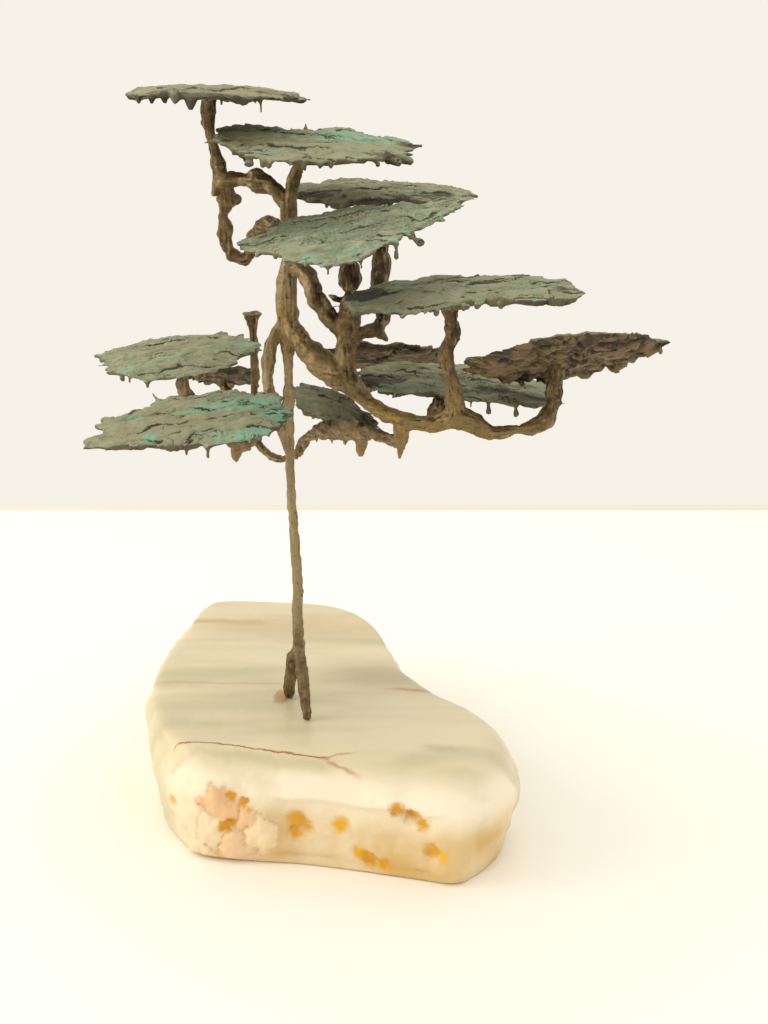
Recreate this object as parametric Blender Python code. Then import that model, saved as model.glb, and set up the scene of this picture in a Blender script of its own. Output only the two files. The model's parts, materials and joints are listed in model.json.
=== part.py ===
"""A bronze bonsai tree on a slab of banded onyx, in metres, with +Z up.

The origin is the centre of the slab's underside. The viewer stands at -Y, and +X is to the right.
The slab is one stone, the trunk and its limbs are one piece of bronze, and each foliage pad is a
bronze plate of its own, seated on the flared end of the limb that carries it.
"""

import math
from dataclasses import dataclass

import bmesh
import bpy
from mathutils import Matrix, Vector, noise

# Overall sizes
STONE_WIDTH = 0.166
STONE_DEPTH = 0.216
STONE_THICKNESS = 0.045
TREE_HEIGHT = 0.258
TRUNK_WIDTH = 0.0088
PAD_THICKNESS = 0.0024
PAD_RIM_THICKNESS = 0.0012
DRIP_LENGTH = 0.0032
FLARE_LENGTH = 0.0040
JOINT_GAP = 0.0003

# A flare's narrow end, as a share of its wide end, and the flat that a pad has around its seat
FLARE_NECK_SHARE = 0.72
SEAT_FLAT_SHARE = 1.2

# The tree is a free form. Its routes and reaches are drawn in millimetres, measured from the
# middle of its foot, for a tree this tall with a trunk this wide, and follow the sizes above.
DRAWN_HEIGHT = 258.0
DRAWN_TRUNK_WIDTH = 8.8
DRAWN_STONE_WIDTH = 166.0
DRAWN_STONE_DEPTH = 216.0

# Where the tree's foot stands on the slab, as shares of the slab's width and depth from its centre
FOOT_ACROSS_SHARE = -0.0765
FOOT_ALONG_SHARE = -0.1600

# How finely the forms are faceted
LIMB_SIDES = 7
LIMB_STEP = 0.0060
PAD_SPOKES = 34
STONE_SPOKES = 56

# How far the gnarls swell a limb, as a share of its radius, and how long they are
GNARL_SHARE = 0.10
GNARL_SPACING = 0.011

# How far a pad's edge strays in lobes and in torn points, as shares of its reach, and how many of
# each there are for each radian around it
LOBE_SHARE = 0.06
LOBE_RATE = 2.3
RAGGED_SHARE = 0.05
RAGGED_RATE = 9.0

# A pad's plate waves up and down by this share of its thickness, over hollows this long
WAVE_SHARE = 0.35
WAVE_LENGTH = 0.017

# Drips hang where a smooth lot drawn around the rim is over this level, and sharpen above it
DRIP_LEVEL_SHARE = 0.12
DRIP_RATE = 9.0
DRIP_SEED = 50.0

# The rings of a pad, as shares of its outline: two under it, and two over it inside the rim
UNDER_MIDDLE_SHARE = 0.62
UNDER_RIM_SHARE = 0.985
OVER_RIM_SHARE = 0.76
OVER_MIDDLE_SHARE = 0.40


@dataclass(frozen=True)
class Pad:
    """A foliage pad: where its underside is seated and how it leans, in degrees. It reaches this
    far from its seat in eight directions, anticlockwise from the one that turn gives."""

    name: str
    seat: tuple[float, float, float]
    back_up: float
    right_up: float
    turn: float
    reaches: tuple[float, float, float, float, float, float, float, float]
    droop: float
    seed: float


@dataclass(frozen=True)
class Limb:
    """A stretch of bronze limb: its route, as x, y, z and radius, and what is at its end. That is
    a flare under the pad that it carries, or the slab, or a plain blunt tip."""

    name: str
    route: tuple[tuple[float, float, float, float], ...]
    carries: str = ""
    flare: float = 0.0
    stands: bool = False


PADS = (
    Pad("foliage_pad_top_left", (-31, 14, 255), 0, -1.5, 0,
        (37, 36, 38, 35, 32, 33, 34, 36), 1.6, 1.7),
    Pad("foliage_pad_top_middle", (6, -6, 235), 8, -3.5, 5,
        (45, 45, 38, 41, 31, 30, 27, 30), 0.6, 4.1),
    Pad("foliage_pad_upper_right", (33, 24, 214), 5, 0, 5,
        (42, 38, 37, 38, 30, 18, 16, 20), 0.6, 7.3),
    Pad("foliage_pad_centre_front", (24, -30, 208), 9, 11, 0,
        (45, 29, 21, 29, 41, 37, 49, 34), 0.6, 10.9),
    Pad("foliage_pad_right_upper", (62, -37, 183), 4, 4, -12,
        (48, 39, 34, 36, 41, 36, 20, 18), 0.6, 13.2),
    Pad("foliage_pad_right_tip", (104, -20, 154), -24, 6, -20,
        (41, 28, 27, 22, 27, 40, 42, 42), 0.6, 16.8),
    Pad("foliage_pad_right_low", (62, 9, 140), 2, -4.3, -15,
        (48, 39, 36, 38, 34, 34, 22, 28), 0.8, 19.4),
    Pad("foliage_pad_rear_right", (37, 60, 141), -22, 0, 0,
        (26, 27, 26, 27, 28, 32, 26, 28), 0.6, 22.6),
    Pad("foliage_pad_left_rear", (-50, 42, 145.5), 4.5, 5.5, 15,
        (35, 34, 36, 41, 33, 35, 38, 31), 0.8, 25.9),
    Pad("foliage_pad_left_front", (-19, -57, 137), 6, 6, 5,
        (20, 28, 46, 52, 54, 19, 14, 17), 0.8, 28.3),
    Pad("foliage_pad_low_middle", (15, 41, 122.5), 11, -20, 0,
        (22, 17, 20, 21, 18, 17, 14, 14), 0.6, 31.7),
    Pad("foliage_pad_rear_left", (-37, 90, 126), -22, 0, 0,
        (17, 17, 19, 17, 16, 20, 20, 19), 0.5, 34.2),
)

LIMBS = (
    Limb("trunk", (
        (1, 0, 24, 2.7), (1, 0, 40, 2.4), (1, 0, 60, 2.3), (0, 0, 82, 2.1), (-1, 0, 104, 1.8),
        (-1, 0, 130, 2.0), (-1, 0, 150, 2.4), (-1, 0, 161, 3.4), (-1, 0, 168, 4.3),
        (-1, 0, 184, 4.2), (0, 0, 192, 2.9), (0, 0, 207, 2.7), (0, 0, 213, 2.5))),
    Limb("rear_foot", ((1, 0, 27, 2.4), (-2, 5, 16, 2.7), (-4, 11, 0, 2.3)), stands=True),
    Limb("front_foot", ((1, 0, 29, 2.2), (3, -6, 17, 2.8), (5, -14, 0, 1.7)), stands=True),
    Limb("left_strand", (
        (-1, 0, 169, 2.8), (-6, 0, 162, 2.4), (-9, 0, 153, 2.8), (-9, 0, 139, 2.3),
        (-7, 0, 128, 1.9), (-4, 0, 121, 1.7), (-1, 0, 111, 1.6))),
    Limb("main_limb", (
        (-1, 0, 168, 3.6), (5, -5, 159, 4.4), (12, -9, 152, 6.2), (19, -12, 149, 6.0),
        (25, -15, 144, 4.6), (31, -18, 138, 3.5), (38, -20, 134, 3.1), (45, -22, 132, 3.5),
        (57, -25, 131, 3.6), (65, -27, 135, 4.8), (72, -27, 132, 4.4), (79, -27, 128, 3.4),
        (88, -26, 129, 2.5), (95, -25, 129, 2.9), (100, -23, 132, 3.7), (104, -21, 139, 3.6),
        (104, -21, 146, 3.5)), "foliage_pad_right_tip", 4.6),
    Limb("vertical_limb", (
        (22, -14, 146, 4.6), (22, -12, 160, 4.0), (23, -9, 171, 3.6), (24, -9, 180, 2.5),
        (24, -12, 187, 2.3), (24, -20, 193, 3.6), (24, -28, 199, 3.2)),
        "foliage_pad_centre_front", 3.9),
    Limb("arch", (
        (22, -11, 164, 3.0), (16, -11, 171, 3.4), (11, -9, 178, 3.7), (8, -5, 185, 3.7),
        (4, -2, 189, 3.2), (0, 0, 190, 2.6))),
    Limb("side_limb", (
        (22, -12, 158, 3.2), (29, -8, 164, 2.8), (34, -3, 165, 3.3), (37, 2, 168, 2.8),
        (36, 7, 175, 2.7), (36, 10, 184, 4.0), (36, 14, 192, 4.0), (35, 20, 200, 3.0)),
        "foliage_pad_upper_right", 3.9),
    Limb("zigzag_post", (
        (65, -27, 134, 4.2), (65, -27, 144, 3.8), (62, -28, 153, 2.8), (61, -29, 161, 3.1),
        (64, -31, 167, 3.2), (63, -34, 173, 2.7)), "foliage_pad_right_upper", 4.4),
    Limb("low_right_stump", ((56, -24, 131, 3.3), (58, -13, 133, 3.8), (60, -3, 134, 3.6)),
         "foliage_pad_right_low", 4.0),
    Limb("low_limb", (
        (45, -22, 131, 3.5), (44, -18, 123, 3.2), (40, -8, 121, 2.8), (33, 2, 121, 2.8),
        (27, 12, 118, 3.4), (19, 22, 116, 3.4), (11, 32, 114, 3.0), (6, 40, 111, 2.6),
        (2, 47, 105, 2.3), (-3, 56, 97, 2.2), (-8, 62, 94, 2.0), (-15, 69, 94, 1.9),
        (-20, 72, 99, 2.2), (-21, 72, 124, 2.3), (-21, 72, 142, 2.1), (-21, 72, 150, 1.9),
        (-21, 72, 155, 2.9), (-21, 72, 159, 5.0))),
    Limb("front_horn", ((44, -18, 124, 3.0), (44, -18, 119, 2.3), (44, -18, 115, 1.0))),
    Limb("rear_horn", ((28, 12, 118, 3.0), (28, 12, 112, 2.3), (28, 12, 108, 1.0))),
    Limb("left_rear_arm", (
        (-21, 72, 118, 2.2), (-30, 68, 116, 2.1), (-42, 60, 117, 2.3), (-48, 51, 123, 2.7),
        (-50, 44, 133, 3.2)), "foliage_pad_left_rear", 3.9),
    Limb("rear_left_arm", ((-21, 72, 116, 2.2), (-28, 80, 115, 2.4), (-34, 87, 118, 2.6)),
         "foliage_pad_rear_left", 3.3),
    Limb("left_front_arm", (
        (-9, 0, 139, 2.2), (-11, -14, 131, 2.2), (-13, -30, 128, 2.5), (-16, -46, 128, 3.0)),
        "foliage_pad_left_front", 4.2),
    Limb("left_horn", ((-16, -47, 129, 2.8), (-18, -52, 127, 2.6), (-18, -53, 123, 0.9))),
    Limb("top_right_arm", (
        (0, 0, 211, 2.4), (1, -1, 218, 2.4), (3, -3, 225, 2.6)), "foliage_pad_top_middle", 3.6),
    Limb("top_left_arm", (
        (0, 0, 211, 2.4), (-4, 2, 218, 2.8), (-8, 4, 221, 3.1), (-12, 6, 222, 4.0),
        (-17, 8, 222, 2.8), (-22, 10, 222, 3.3), (-27, 12, 221, 3.6))),
    Limb("far_left_post", (
        (-27, 12, 218, 3.6), (-28, 13, 227, 2.6), (-30, 14, 236, 2.3), (-32, 14, 246, 3.0)),
        "foliage_pad_top_left", 4.3),
    Limb("rear_strand", (
        (-26, 12, 219, 3.2), (-25, 16, 214, 3.6), (-28, 21, 206, 2.1), (-29, 24, 199, 2.1),
        (-25, 28, 190, 2.7), (-20, 28, 188, 2.6), (-16, 26, 193, 2.9), (-12, 20, 202, 3.6),
        (-8, 13, 205, 3.4), (-4, 7, 202, 3.0), (0, 0, 199, 2.5))),
    Limb("rear_right_arm", (
        (21, -14, 152, 3.0), (20, 10, 145, 2.6), (25, 36, 132, 2.5), (34, 54, 130, 2.6)),
        "foliage_pad_rear_right", 3.2),
    Limb("low_middle_post", ((11, 33, 114, 2.6),), "foliage_pad_low_middle", 3.2),
)

# The slab's outline, clockwise from its back left corner: x, y and how wide its rounded shoulder
# is there, drawn in millimetres from the middle of the tree's foot
STONE_OUTLINE = (
    (-54, 137, 5), (-18, 140, 6), (16, 132, 6), (34, 108, 5), (44, 72, 5), (49, 44, 5),
    (64, 22, 7), (82, 2, 9), (93, -18, 13), (95, -39, 17), (86, -60, 22), (70, -73, 26),
    (40, -66, 22), (8, -57, 17), (-22, -53, 15), (-46, -46, 12), (-60, -24, 8), (-68, 8, 6),
    (-70, 45, 5), (-64, 90, 5))

# The slab's side, from the underside up: height as a share of its thickness, and how far it
# draws in, as a share of the shoulder's width
STONE_PROFILE = (
    (0.0, 0.12), (0.12, 0.02), (0.42, 0.0), (0.66, 0.10), (0.84, 0.36), (0.95, 0.68), (1.0, 1.0))

# How rough the slab's broken side is, in metres, and how long its facets are
STONE_ROUGHNESS = 0.0016
STONE_FACET = 0.014


def clear_scene():
    """Removes whatever the scene holds before the model is built."""
    for obj in list(bpy.data.objects):
        bpy.data.objects.remove(obj, do_unlink=True)


def finish(name, colour, metallic, roughness):
    """Makes a plain material from a linear colour, a metallic value and a roughness."""
    material = bpy.data.materials.new(name)
    material.use_nodes = True
    shader = material.node_tree.nodes["Principled BSDF"]
    shader.inputs["Base Color"].default_value = (*colour, 1.0)
    shader.inputs["Metallic"].default_value = metallic
    shader.inputs["Roughness"].default_value = roughness
    return material


def add_object(name, form, material, parent):
    """Turns a bmesh into an object with smooth round sides, and gives it its material."""
    mesh = bpy.data.meshes.new(name)
    bmesh.ops.recalc_face_normals(form, faces=form.faces)
    form.to_mesh(mesh)
    form.free()
    mesh.materials.append(material)
    mesh.shade_smooth()
    mesh.set_sharp_from_angle(angle=math.radians(50))
    obj = bpy.data.objects.new(name, mesh)
    bpy.context.scene.collection.objects.link(obj)
    obj.parent = parent
    return obj


def in_tree(x, y, z):
    """A point drawn in millimetres from the tree's foot, in metres at the tree's real height."""
    return Vector((x, y, z)) * TREE_HEIGHT / DRAWN_HEIGHT


def in_limb(radius):
    """A limb radius drawn in millimetres, in metres at the trunk's real width."""
    return radius * TRUNK_WIDTH / DRAWN_TRUNK_WIDTH


def through(before, start, end, after, share):
    """A point on the smooth curve that runs from start to end, a share of the way along."""
    linear = (end - before) * 0.5
    square = before - start * 2.5 + end * 2.0 - after * 0.5
    cube = (start - end) * 1.5 + (after - before) * 0.5
    return start + linear * share + square * share**2 + cube * share**3


def smooth_route(points, step):
    """Samples a smooth curve through points of any size, about one step apart."""
    samples = []
    for i in range(len(points) - 1):
        before, after = points[max(i - 1, 0)], points[min(i + 2, len(points) - 1)]
        start, end = points[i], points[i + 1]
        count = max(1, round((end - start).to_3d().length / step))
        samples += [through(before, start, end, after, k / count) for k in range(count)]
    return [*samples, points[-1]]


def skin(form, rings):
    """Joins rings of vertices, each with as many as the next, into a closed form with flat ends."""
    count = len(rings[0])
    for lower, upper in zip(rings, rings[1:]):
        for i in range(count):
            k = (i + 1) % count
            form.faces.new((lower[i], lower[k], upper[k], upper[i]))
    form.faces.new(reversed(rings[0]))
    form.faces.new(rings[-1])


def limb_form(route, end_direction):
    """A gnarled tube along a route of x, y, z and radius, cut square to end_direction at its end."""
    samples = smooth_route(route, LIMB_STEP)
    centres = [sample.to_3d() for sample in samples]
    form = bmesh.new()
    rings = []
    across = Vector((1.0, 0.0, 0.0))
    for i, centre in enumerate(centres):
        along = (centres[min(i + 1, len(centres) - 1)] - centres[max(i - 1, 0)]).normalized()
        if i == len(centres) - 1 and end_direction is not None:
            along = end_direction
        if abs(across.dot(along)) > 0.9:
            across = along.orthogonal()
        across = (across - along * across.dot(along)).normalized()
        beside = along.cross(across)
        ring = []
        for k in range(LIMB_SIDES):
            angle = 2 * math.pi * k / LIMB_SIDES
            out = across * math.cos(angle) + beside * math.sin(angle)
            radius = samples[i][3]
            swell = 1 + GNARL_SHARE * noise.noise((centre + out * radius) / GNARL_SPACING)
            ring.append(form.verts.new(centre + out * radius * swell))
        rings.append(ring)
    skin(form, rings)
    return form


def pad_matrix(pad):
    """Where a pad's seat is and how the pad leans, in the tree's frame."""
    lean = Matrix.Rotation(math.radians(pad.back_up), 4, "X")
    roll = Matrix.Rotation(math.radians(-pad.right_up), 4, "Y")
    return Matrix.Translation(in_tree(*pad.seat)) @ lean @ roll


def limb_route(limb, pads):
    """A limb's route in metres and the direction that its end faces. A limb that carries a pad
    ends in a flare that stands square under the pad's seat, one joint gap below it, and a foot
    ends flat on the slab."""
    route = [Vector((*in_tree(x, y, z), in_limb(radius))) for x, y, z, radius in limb.route]
    if limb.stands:
        return route, Vector((0, 0, -1))
    if not limb.carries:
        return route, None
    seat = pad_matrix(pads[limb.carries])
    up = seat.col[2].to_3d()
    top = seat.translation - up * JOINT_GAP
    flare = in_limb(limb.flare)
    neck = top - up * FLARE_LENGTH
    route.append(Vector((*neck, FLARE_NECK_SHARE * flare)))
    route.append(Vector((*top, flare)))
    return route, up


def build_limbs(material, parent):
    """The trunk and every limb, horn and foot, fused into one piece of bronze."""
    pads = {pad.name: pad for pad in PADS}
    pieces = []
    for limb in LIMBS:
        form = limb_form(*limb_route(limb, pads))
        pieces.append(add_object(limb.name, form, material, parent))
    tree, *others = pieces
    tree.name = "trunk_and_limbs"
    for piece in others:
        union = tree.modifiers.new(piece.name, "BOOLEAN")
        union.operation = "UNION"
        union.object = piece
        piece.hide_render = True
        piece.display_type = "WIRE"
    return tree


def pad_outline(pad, angle):
    """How far the pad reaches from its seat at an angle, with its lobes and its torn edge."""
    count = len(pad.reaches)
    place = (angle - math.radians(pad.turn)) / (2 * math.pi) * count % count
    k = int(place)
    around = [pad.reaches[(k + step) % count] for step in (-1, 0, 1, 2)]
    spot = Vector((math.cos(angle), math.sin(angle), pad.seed))
    torn = LOBE_SHARE * noise.noise(spot * LOBE_RATE) + RAGGED_SHARE * noise.noise(spot * RAGGED_RATE)
    return in_tree(through(*around, place - k) * (1 + torn), 0, 0).x


def pad_sag(pad, share):
    """How far the pad's plate hangs below its seat, at a share of the way to its rim."""
    return in_tree(pad.droop, 0, 0).x * share**2


def pad_wave(pad, point):
    """The slow unevenness of a plate that was puddled by hand."""
    spot = Vector((point.x, point.y, 0)) / WAVE_LENGTH
    return WAVE_SHARE * PAD_THICKNESS * noise.noise(spot + Vector((0, 0, pad.seed)))


def drip(pad, angle):
    """How far molten bronze has run down from the rim at an angle; most of the rim has none."""
    around = Vector((math.cos(angle), math.sin(angle), 0)) * DRIP_RATE
    lot = noise.noise(around + Vector((0, 0, pad.seed + DRIP_SEED)))
    return DRIP_LENGTH * max(0.0, lot - DRIP_LEVEL_SHARE) / (1.0 - 4 * DRIP_LEVEL_SHARE)


def build_pad(pad, flare, material, parent):
    """A thin, uneven plate with a torn rim, flat underneath where its limb's flare is seated."""
    form = bmesh.new()

    def ring(reach_of, height_of):
        """Vertices around the seat, at a reach and a height worked out for each angle."""
        verts = []
        for i in range(PAD_SPOKES):
            angle = 2 * math.pi * i / PAD_SPOKES
            spot = Vector((math.cos(angle), math.sin(angle), 0)) * reach_of(angle)
            spot.z = height_of(angle, spot)
            verts.append(form.verts.new(spot))
        return verts

    def plate_ring(share, thickness, runs=0.0):
        """A ring at a share of the outline, on the plate's underside or above it."""
        return ring(
            lambda angle: pad_outline(pad, angle) * share,
            lambda angle, spot: thickness - pad_sag(pad, share) + share * pad_wave(pad, spot)
            - runs * drip(pad, angle))

    under = [
        ring(lambda angle: SEAT_FLAT_SHARE * flare, lambda angle, spot: 0.0),
        plate_ring(UNDER_MIDDLE_SHARE, 0.0),
        plate_ring(UNDER_RIM_SHARE, 0.0, runs=1.0)]
    over = [
        plate_ring(1.0, PAD_RIM_THICKNESS),
        plate_ring(OVER_RIM_SHARE, 0.5 * (PAD_THICKNESS + PAD_RIM_THICKNESS)),
        plate_ring(OVER_MIDDLE_SHARE, PAD_THICKNESS)]
    skin(form, under + over)
    return add_object(pad.name, form, material, parent)


def stone_outline():
    """The slab's outline as evenly spread points with a shoulder width, in metres from the foot."""
    corners = [
        Vector((x / DRAWN_STONE_WIDTH * STONE_WIDTH, y / DRAWN_STONE_DEPTH * STONE_DEPTH,
                shoulder / 1000.0))
        for x, y, shoulder in STONE_OUTLINE]
    count = len(corners)
    outline = []
    for i in range(STONE_SPOKES):
        place = i * count / STONE_SPOKES
        k = int(place)
        around = [corners[(k + step) % count] for step in (-1, 0, 1, 2)]
        outline.append(through(*around, place - k))
    return outline


def build_stone(material):
    """The onyx slab: flat underneath and on top, with an uneven side and a rounded shoulder."""
    outline = stone_outline()
    foot = Vector((FOOT_ACROSS_SHARE * STONE_WIDTH, FOOT_ALONG_SHARE * STONE_DEPTH, 0))
    form = bmesh.new()
    rings = []
    for share, draw_in in STONE_PROFILE:
        ring = []
        for i, spot in enumerate(outline):
            ahead = outline[(i + 1) % STONE_SPOKES] - outline[i - 1]
            inward = Vector((ahead.y, -ahead.x, 0)).normalized()
            height = share * STONE_THICKNESS
            place = Vector((spot.x, spot.y, height)) + inward * draw_in * spot.z
            if 0.0 < share < 1.0:
                place += inward * STONE_ROUGHNESS * noise.noise(place / STONE_FACET)
            ring.append(form.verts.new(place + foot))
        rings.append(ring)
    skin(form, rings)
    return add_object("stone_base", form, material, None)


def main():
    """Builds the slab, the fused limbs and the pads."""
    clear_scene()
    onyx = finish("banded onyx", (0.70, 0.66, 0.50), 0.0, 0.35)
    bronze = finish("brown bronze", (0.20, 0.13, 0.06), 1.0, 0.45)
    verdigris = finish("verdigris bronze", (0.19, 0.24, 0.17), 0.3, 0.7)

    build_stone(onyx)
    tree = bpy.data.objects.new("tree", None)
    tree.location = (
        FOOT_ACROSS_SHARE * STONE_WIDTH, FOOT_ALONG_SHARE * STONE_DEPTH, STONE_THICKNESS + JOINT_GAP)
    bpy.context.scene.collection.objects.link(tree)

    build_limbs(bronze, tree)
    flares = {limb.carries: in_limb(limb.flare) for limb in LIMBS if limb.carries}
    for pad in PADS:
        plate = build_pad(pad, flares[pad.name], verdigris, tree)
        plate.matrix_local = pad_matrix(pad)


if __name__ == "__main__":
    main()
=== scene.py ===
"""The looks of a bronze bonsai tree, with verdigris plates for leaves, on a slab of banded onyx.

Each CAD node is copied, meshed anew at a fine even spacing and carved by arithmetic. The plates get
flakes, cracks, torn rims and run drops, the limbs get the grooves of melted rod, and the slab gets
its rounded shoulder and broken front. Sizes in the classes are millimetres, and meshes are metres.
"""

from __future__ import annotations

import itertools
import json
import logging
import math
from collections.abc import Iterable
from dataclasses import dataclass
from enum import Enum

import bmesh
import bpy
import numpy as np
from mathutils import Matrix, Vector

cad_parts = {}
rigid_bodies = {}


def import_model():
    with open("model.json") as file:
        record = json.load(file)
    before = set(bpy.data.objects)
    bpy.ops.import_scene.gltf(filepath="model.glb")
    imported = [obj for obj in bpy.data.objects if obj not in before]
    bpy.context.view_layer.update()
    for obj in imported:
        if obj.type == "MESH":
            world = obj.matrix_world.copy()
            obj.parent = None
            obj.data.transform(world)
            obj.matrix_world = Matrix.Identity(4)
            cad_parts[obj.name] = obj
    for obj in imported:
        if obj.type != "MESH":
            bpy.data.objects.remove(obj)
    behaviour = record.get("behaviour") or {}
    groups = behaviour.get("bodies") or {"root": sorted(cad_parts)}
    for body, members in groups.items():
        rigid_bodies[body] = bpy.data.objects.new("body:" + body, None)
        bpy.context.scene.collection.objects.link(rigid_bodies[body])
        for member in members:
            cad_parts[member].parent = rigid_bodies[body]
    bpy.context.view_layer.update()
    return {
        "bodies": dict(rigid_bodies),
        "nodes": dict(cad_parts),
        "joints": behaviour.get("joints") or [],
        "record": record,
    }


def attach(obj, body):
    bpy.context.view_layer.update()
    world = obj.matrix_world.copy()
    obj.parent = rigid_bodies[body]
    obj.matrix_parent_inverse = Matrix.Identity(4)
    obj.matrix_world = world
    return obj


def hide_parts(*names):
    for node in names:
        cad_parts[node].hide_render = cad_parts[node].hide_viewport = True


LOG = logging.getLogger("bonsai")
MM = 0.001
WORLD_UP = np.array((0.0, 0.0, 1.0))
WORLD_RIGHT = np.array((1.0, 0.0, 0.0))
Socket = bpy.types.NodeSocket


# Noise on whole arrays of points


def smoothstep(low: float, high: float, values: np.ndarray) -> np.ndarray:
    """Rises softly from 0 at low to 1 at high."""
    share = np.clip((values - low) / (high - low), 0, 1)
    return share * share * (3 - 2 * share)


def lots(cells: np.ndarray, seed: int) -> np.ndarray:
    """Draws an even lot from 0 to 1 for each whole-number cell, the same each time.

    Args:
        cells: whole numbers, one row for each cell.
        seed: which set of lots to draw from.

    Returns:
        One lot for each row.
    """
    mixed = np.full(len(cells), (seed * 2654435761 + 97) & 0xFFFFFFFF, dtype=np.uint32)
    for column, prime in zip(cells.T, (73856093, 19349663, 83492791)):
        mixed ^= column.astype(np.int64).astype(np.uint32) * np.uint32(prime)
        mixed = (mixed ^ (mixed >> np.uint32(15))) * np.uint32(2246822519)
        mixed ^= mixed >> np.uint32(13)
    return mixed / 0xFFFFFFFF


def noise(points: np.ndarray, seed: int, layers: int = 1) -> np.ndarray:
    """Soft noise, with one swell for each unit, and finer layers of half the size and strength.

    Args:
        points: where to read the noise, with a column for each direction.
        seed: which noise to read.
        layers: how many layers are added up.

    Returns:
        One value for each point, mostly from -1 to 1.
    """
    total = np.zeros(len(points))
    for layer in range(layers):
        spots = points * 2**layer + 17.3 * layer
        base = np.floor(spots).astype(np.int64)
        share = spots - base
        ease = share**3 * (share * (share * 6 - 15) + 10)
        for corner in itertools.product((0, 1), repeat=points.shape[1]):
            weight = np.prod(np.where(corner, ease, 1 - ease), axis=1)
            total += weight * (2 * lots(base + corner, seed + layer) - 1) / 2**layer
    return total


def cracked(points: np.ndarray, seed: int) -> tuple[np.ndarray, np.ndarray]:
    """Splits space into uneven cells about one unit wide.

    Args:
        points: the places to look up, with a column for each direction.
        seed: which cells to use.

    Returns:
        The lot of each point's cell, and how far the point is from that cell's middle.
    """
    base = np.floor(points).astype(np.int64)
    nearest = np.full(len(points), np.inf)
    lot = np.zeros(len(points))
    for step in itertools.product((-1, 0, 1), repeat=points.shape[1]):
        cell = base + step
        middle = np.stack(
            [cell[:, k] + 0.1 + 0.8 * lots(cell, seed + 31 * k) for k in range(points.shape[1])],
            axis=1)
        distance = np.linalg.norm(points - middle, axis=1)
        closer = distance < nearest
        nearest = np.where(closer, distance, nearest)
        lot = np.where(closer, lots(cell, seed + 200), lot)
    return lot, nearest


# Meshes as arrays


def rows(items: bpy.types.bpy_prop_collection, name: str, width: int = 3,
         kind: type = np.float32) -> np.ndarray:
    """One row of numbers for each of a mesh's items."""
    flat = np.empty(len(items) * width, kind)
    items.foreach_get(name, flat)
    return flat.reshape(-1, width)


def points_of(mesh: bpy.types.Mesh) -> np.ndarray:
    """A mesh's vertices, one row each, in metres."""
    return rows(mesh.vertices, "co").astype(float)


def edges_of(mesh: bpy.types.Mesh) -> np.ndarray:
    """A mesh's edges as pairs of vertices."""
    return rows(mesh.edges, "vertices", 2, np.int32)


@dataclass(frozen=True)
class Bead:
    """A ball of melted bronze, in metres: chains of them make drops, twigs and burrs."""

    middle: np.ndarray
    radius: float


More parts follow.
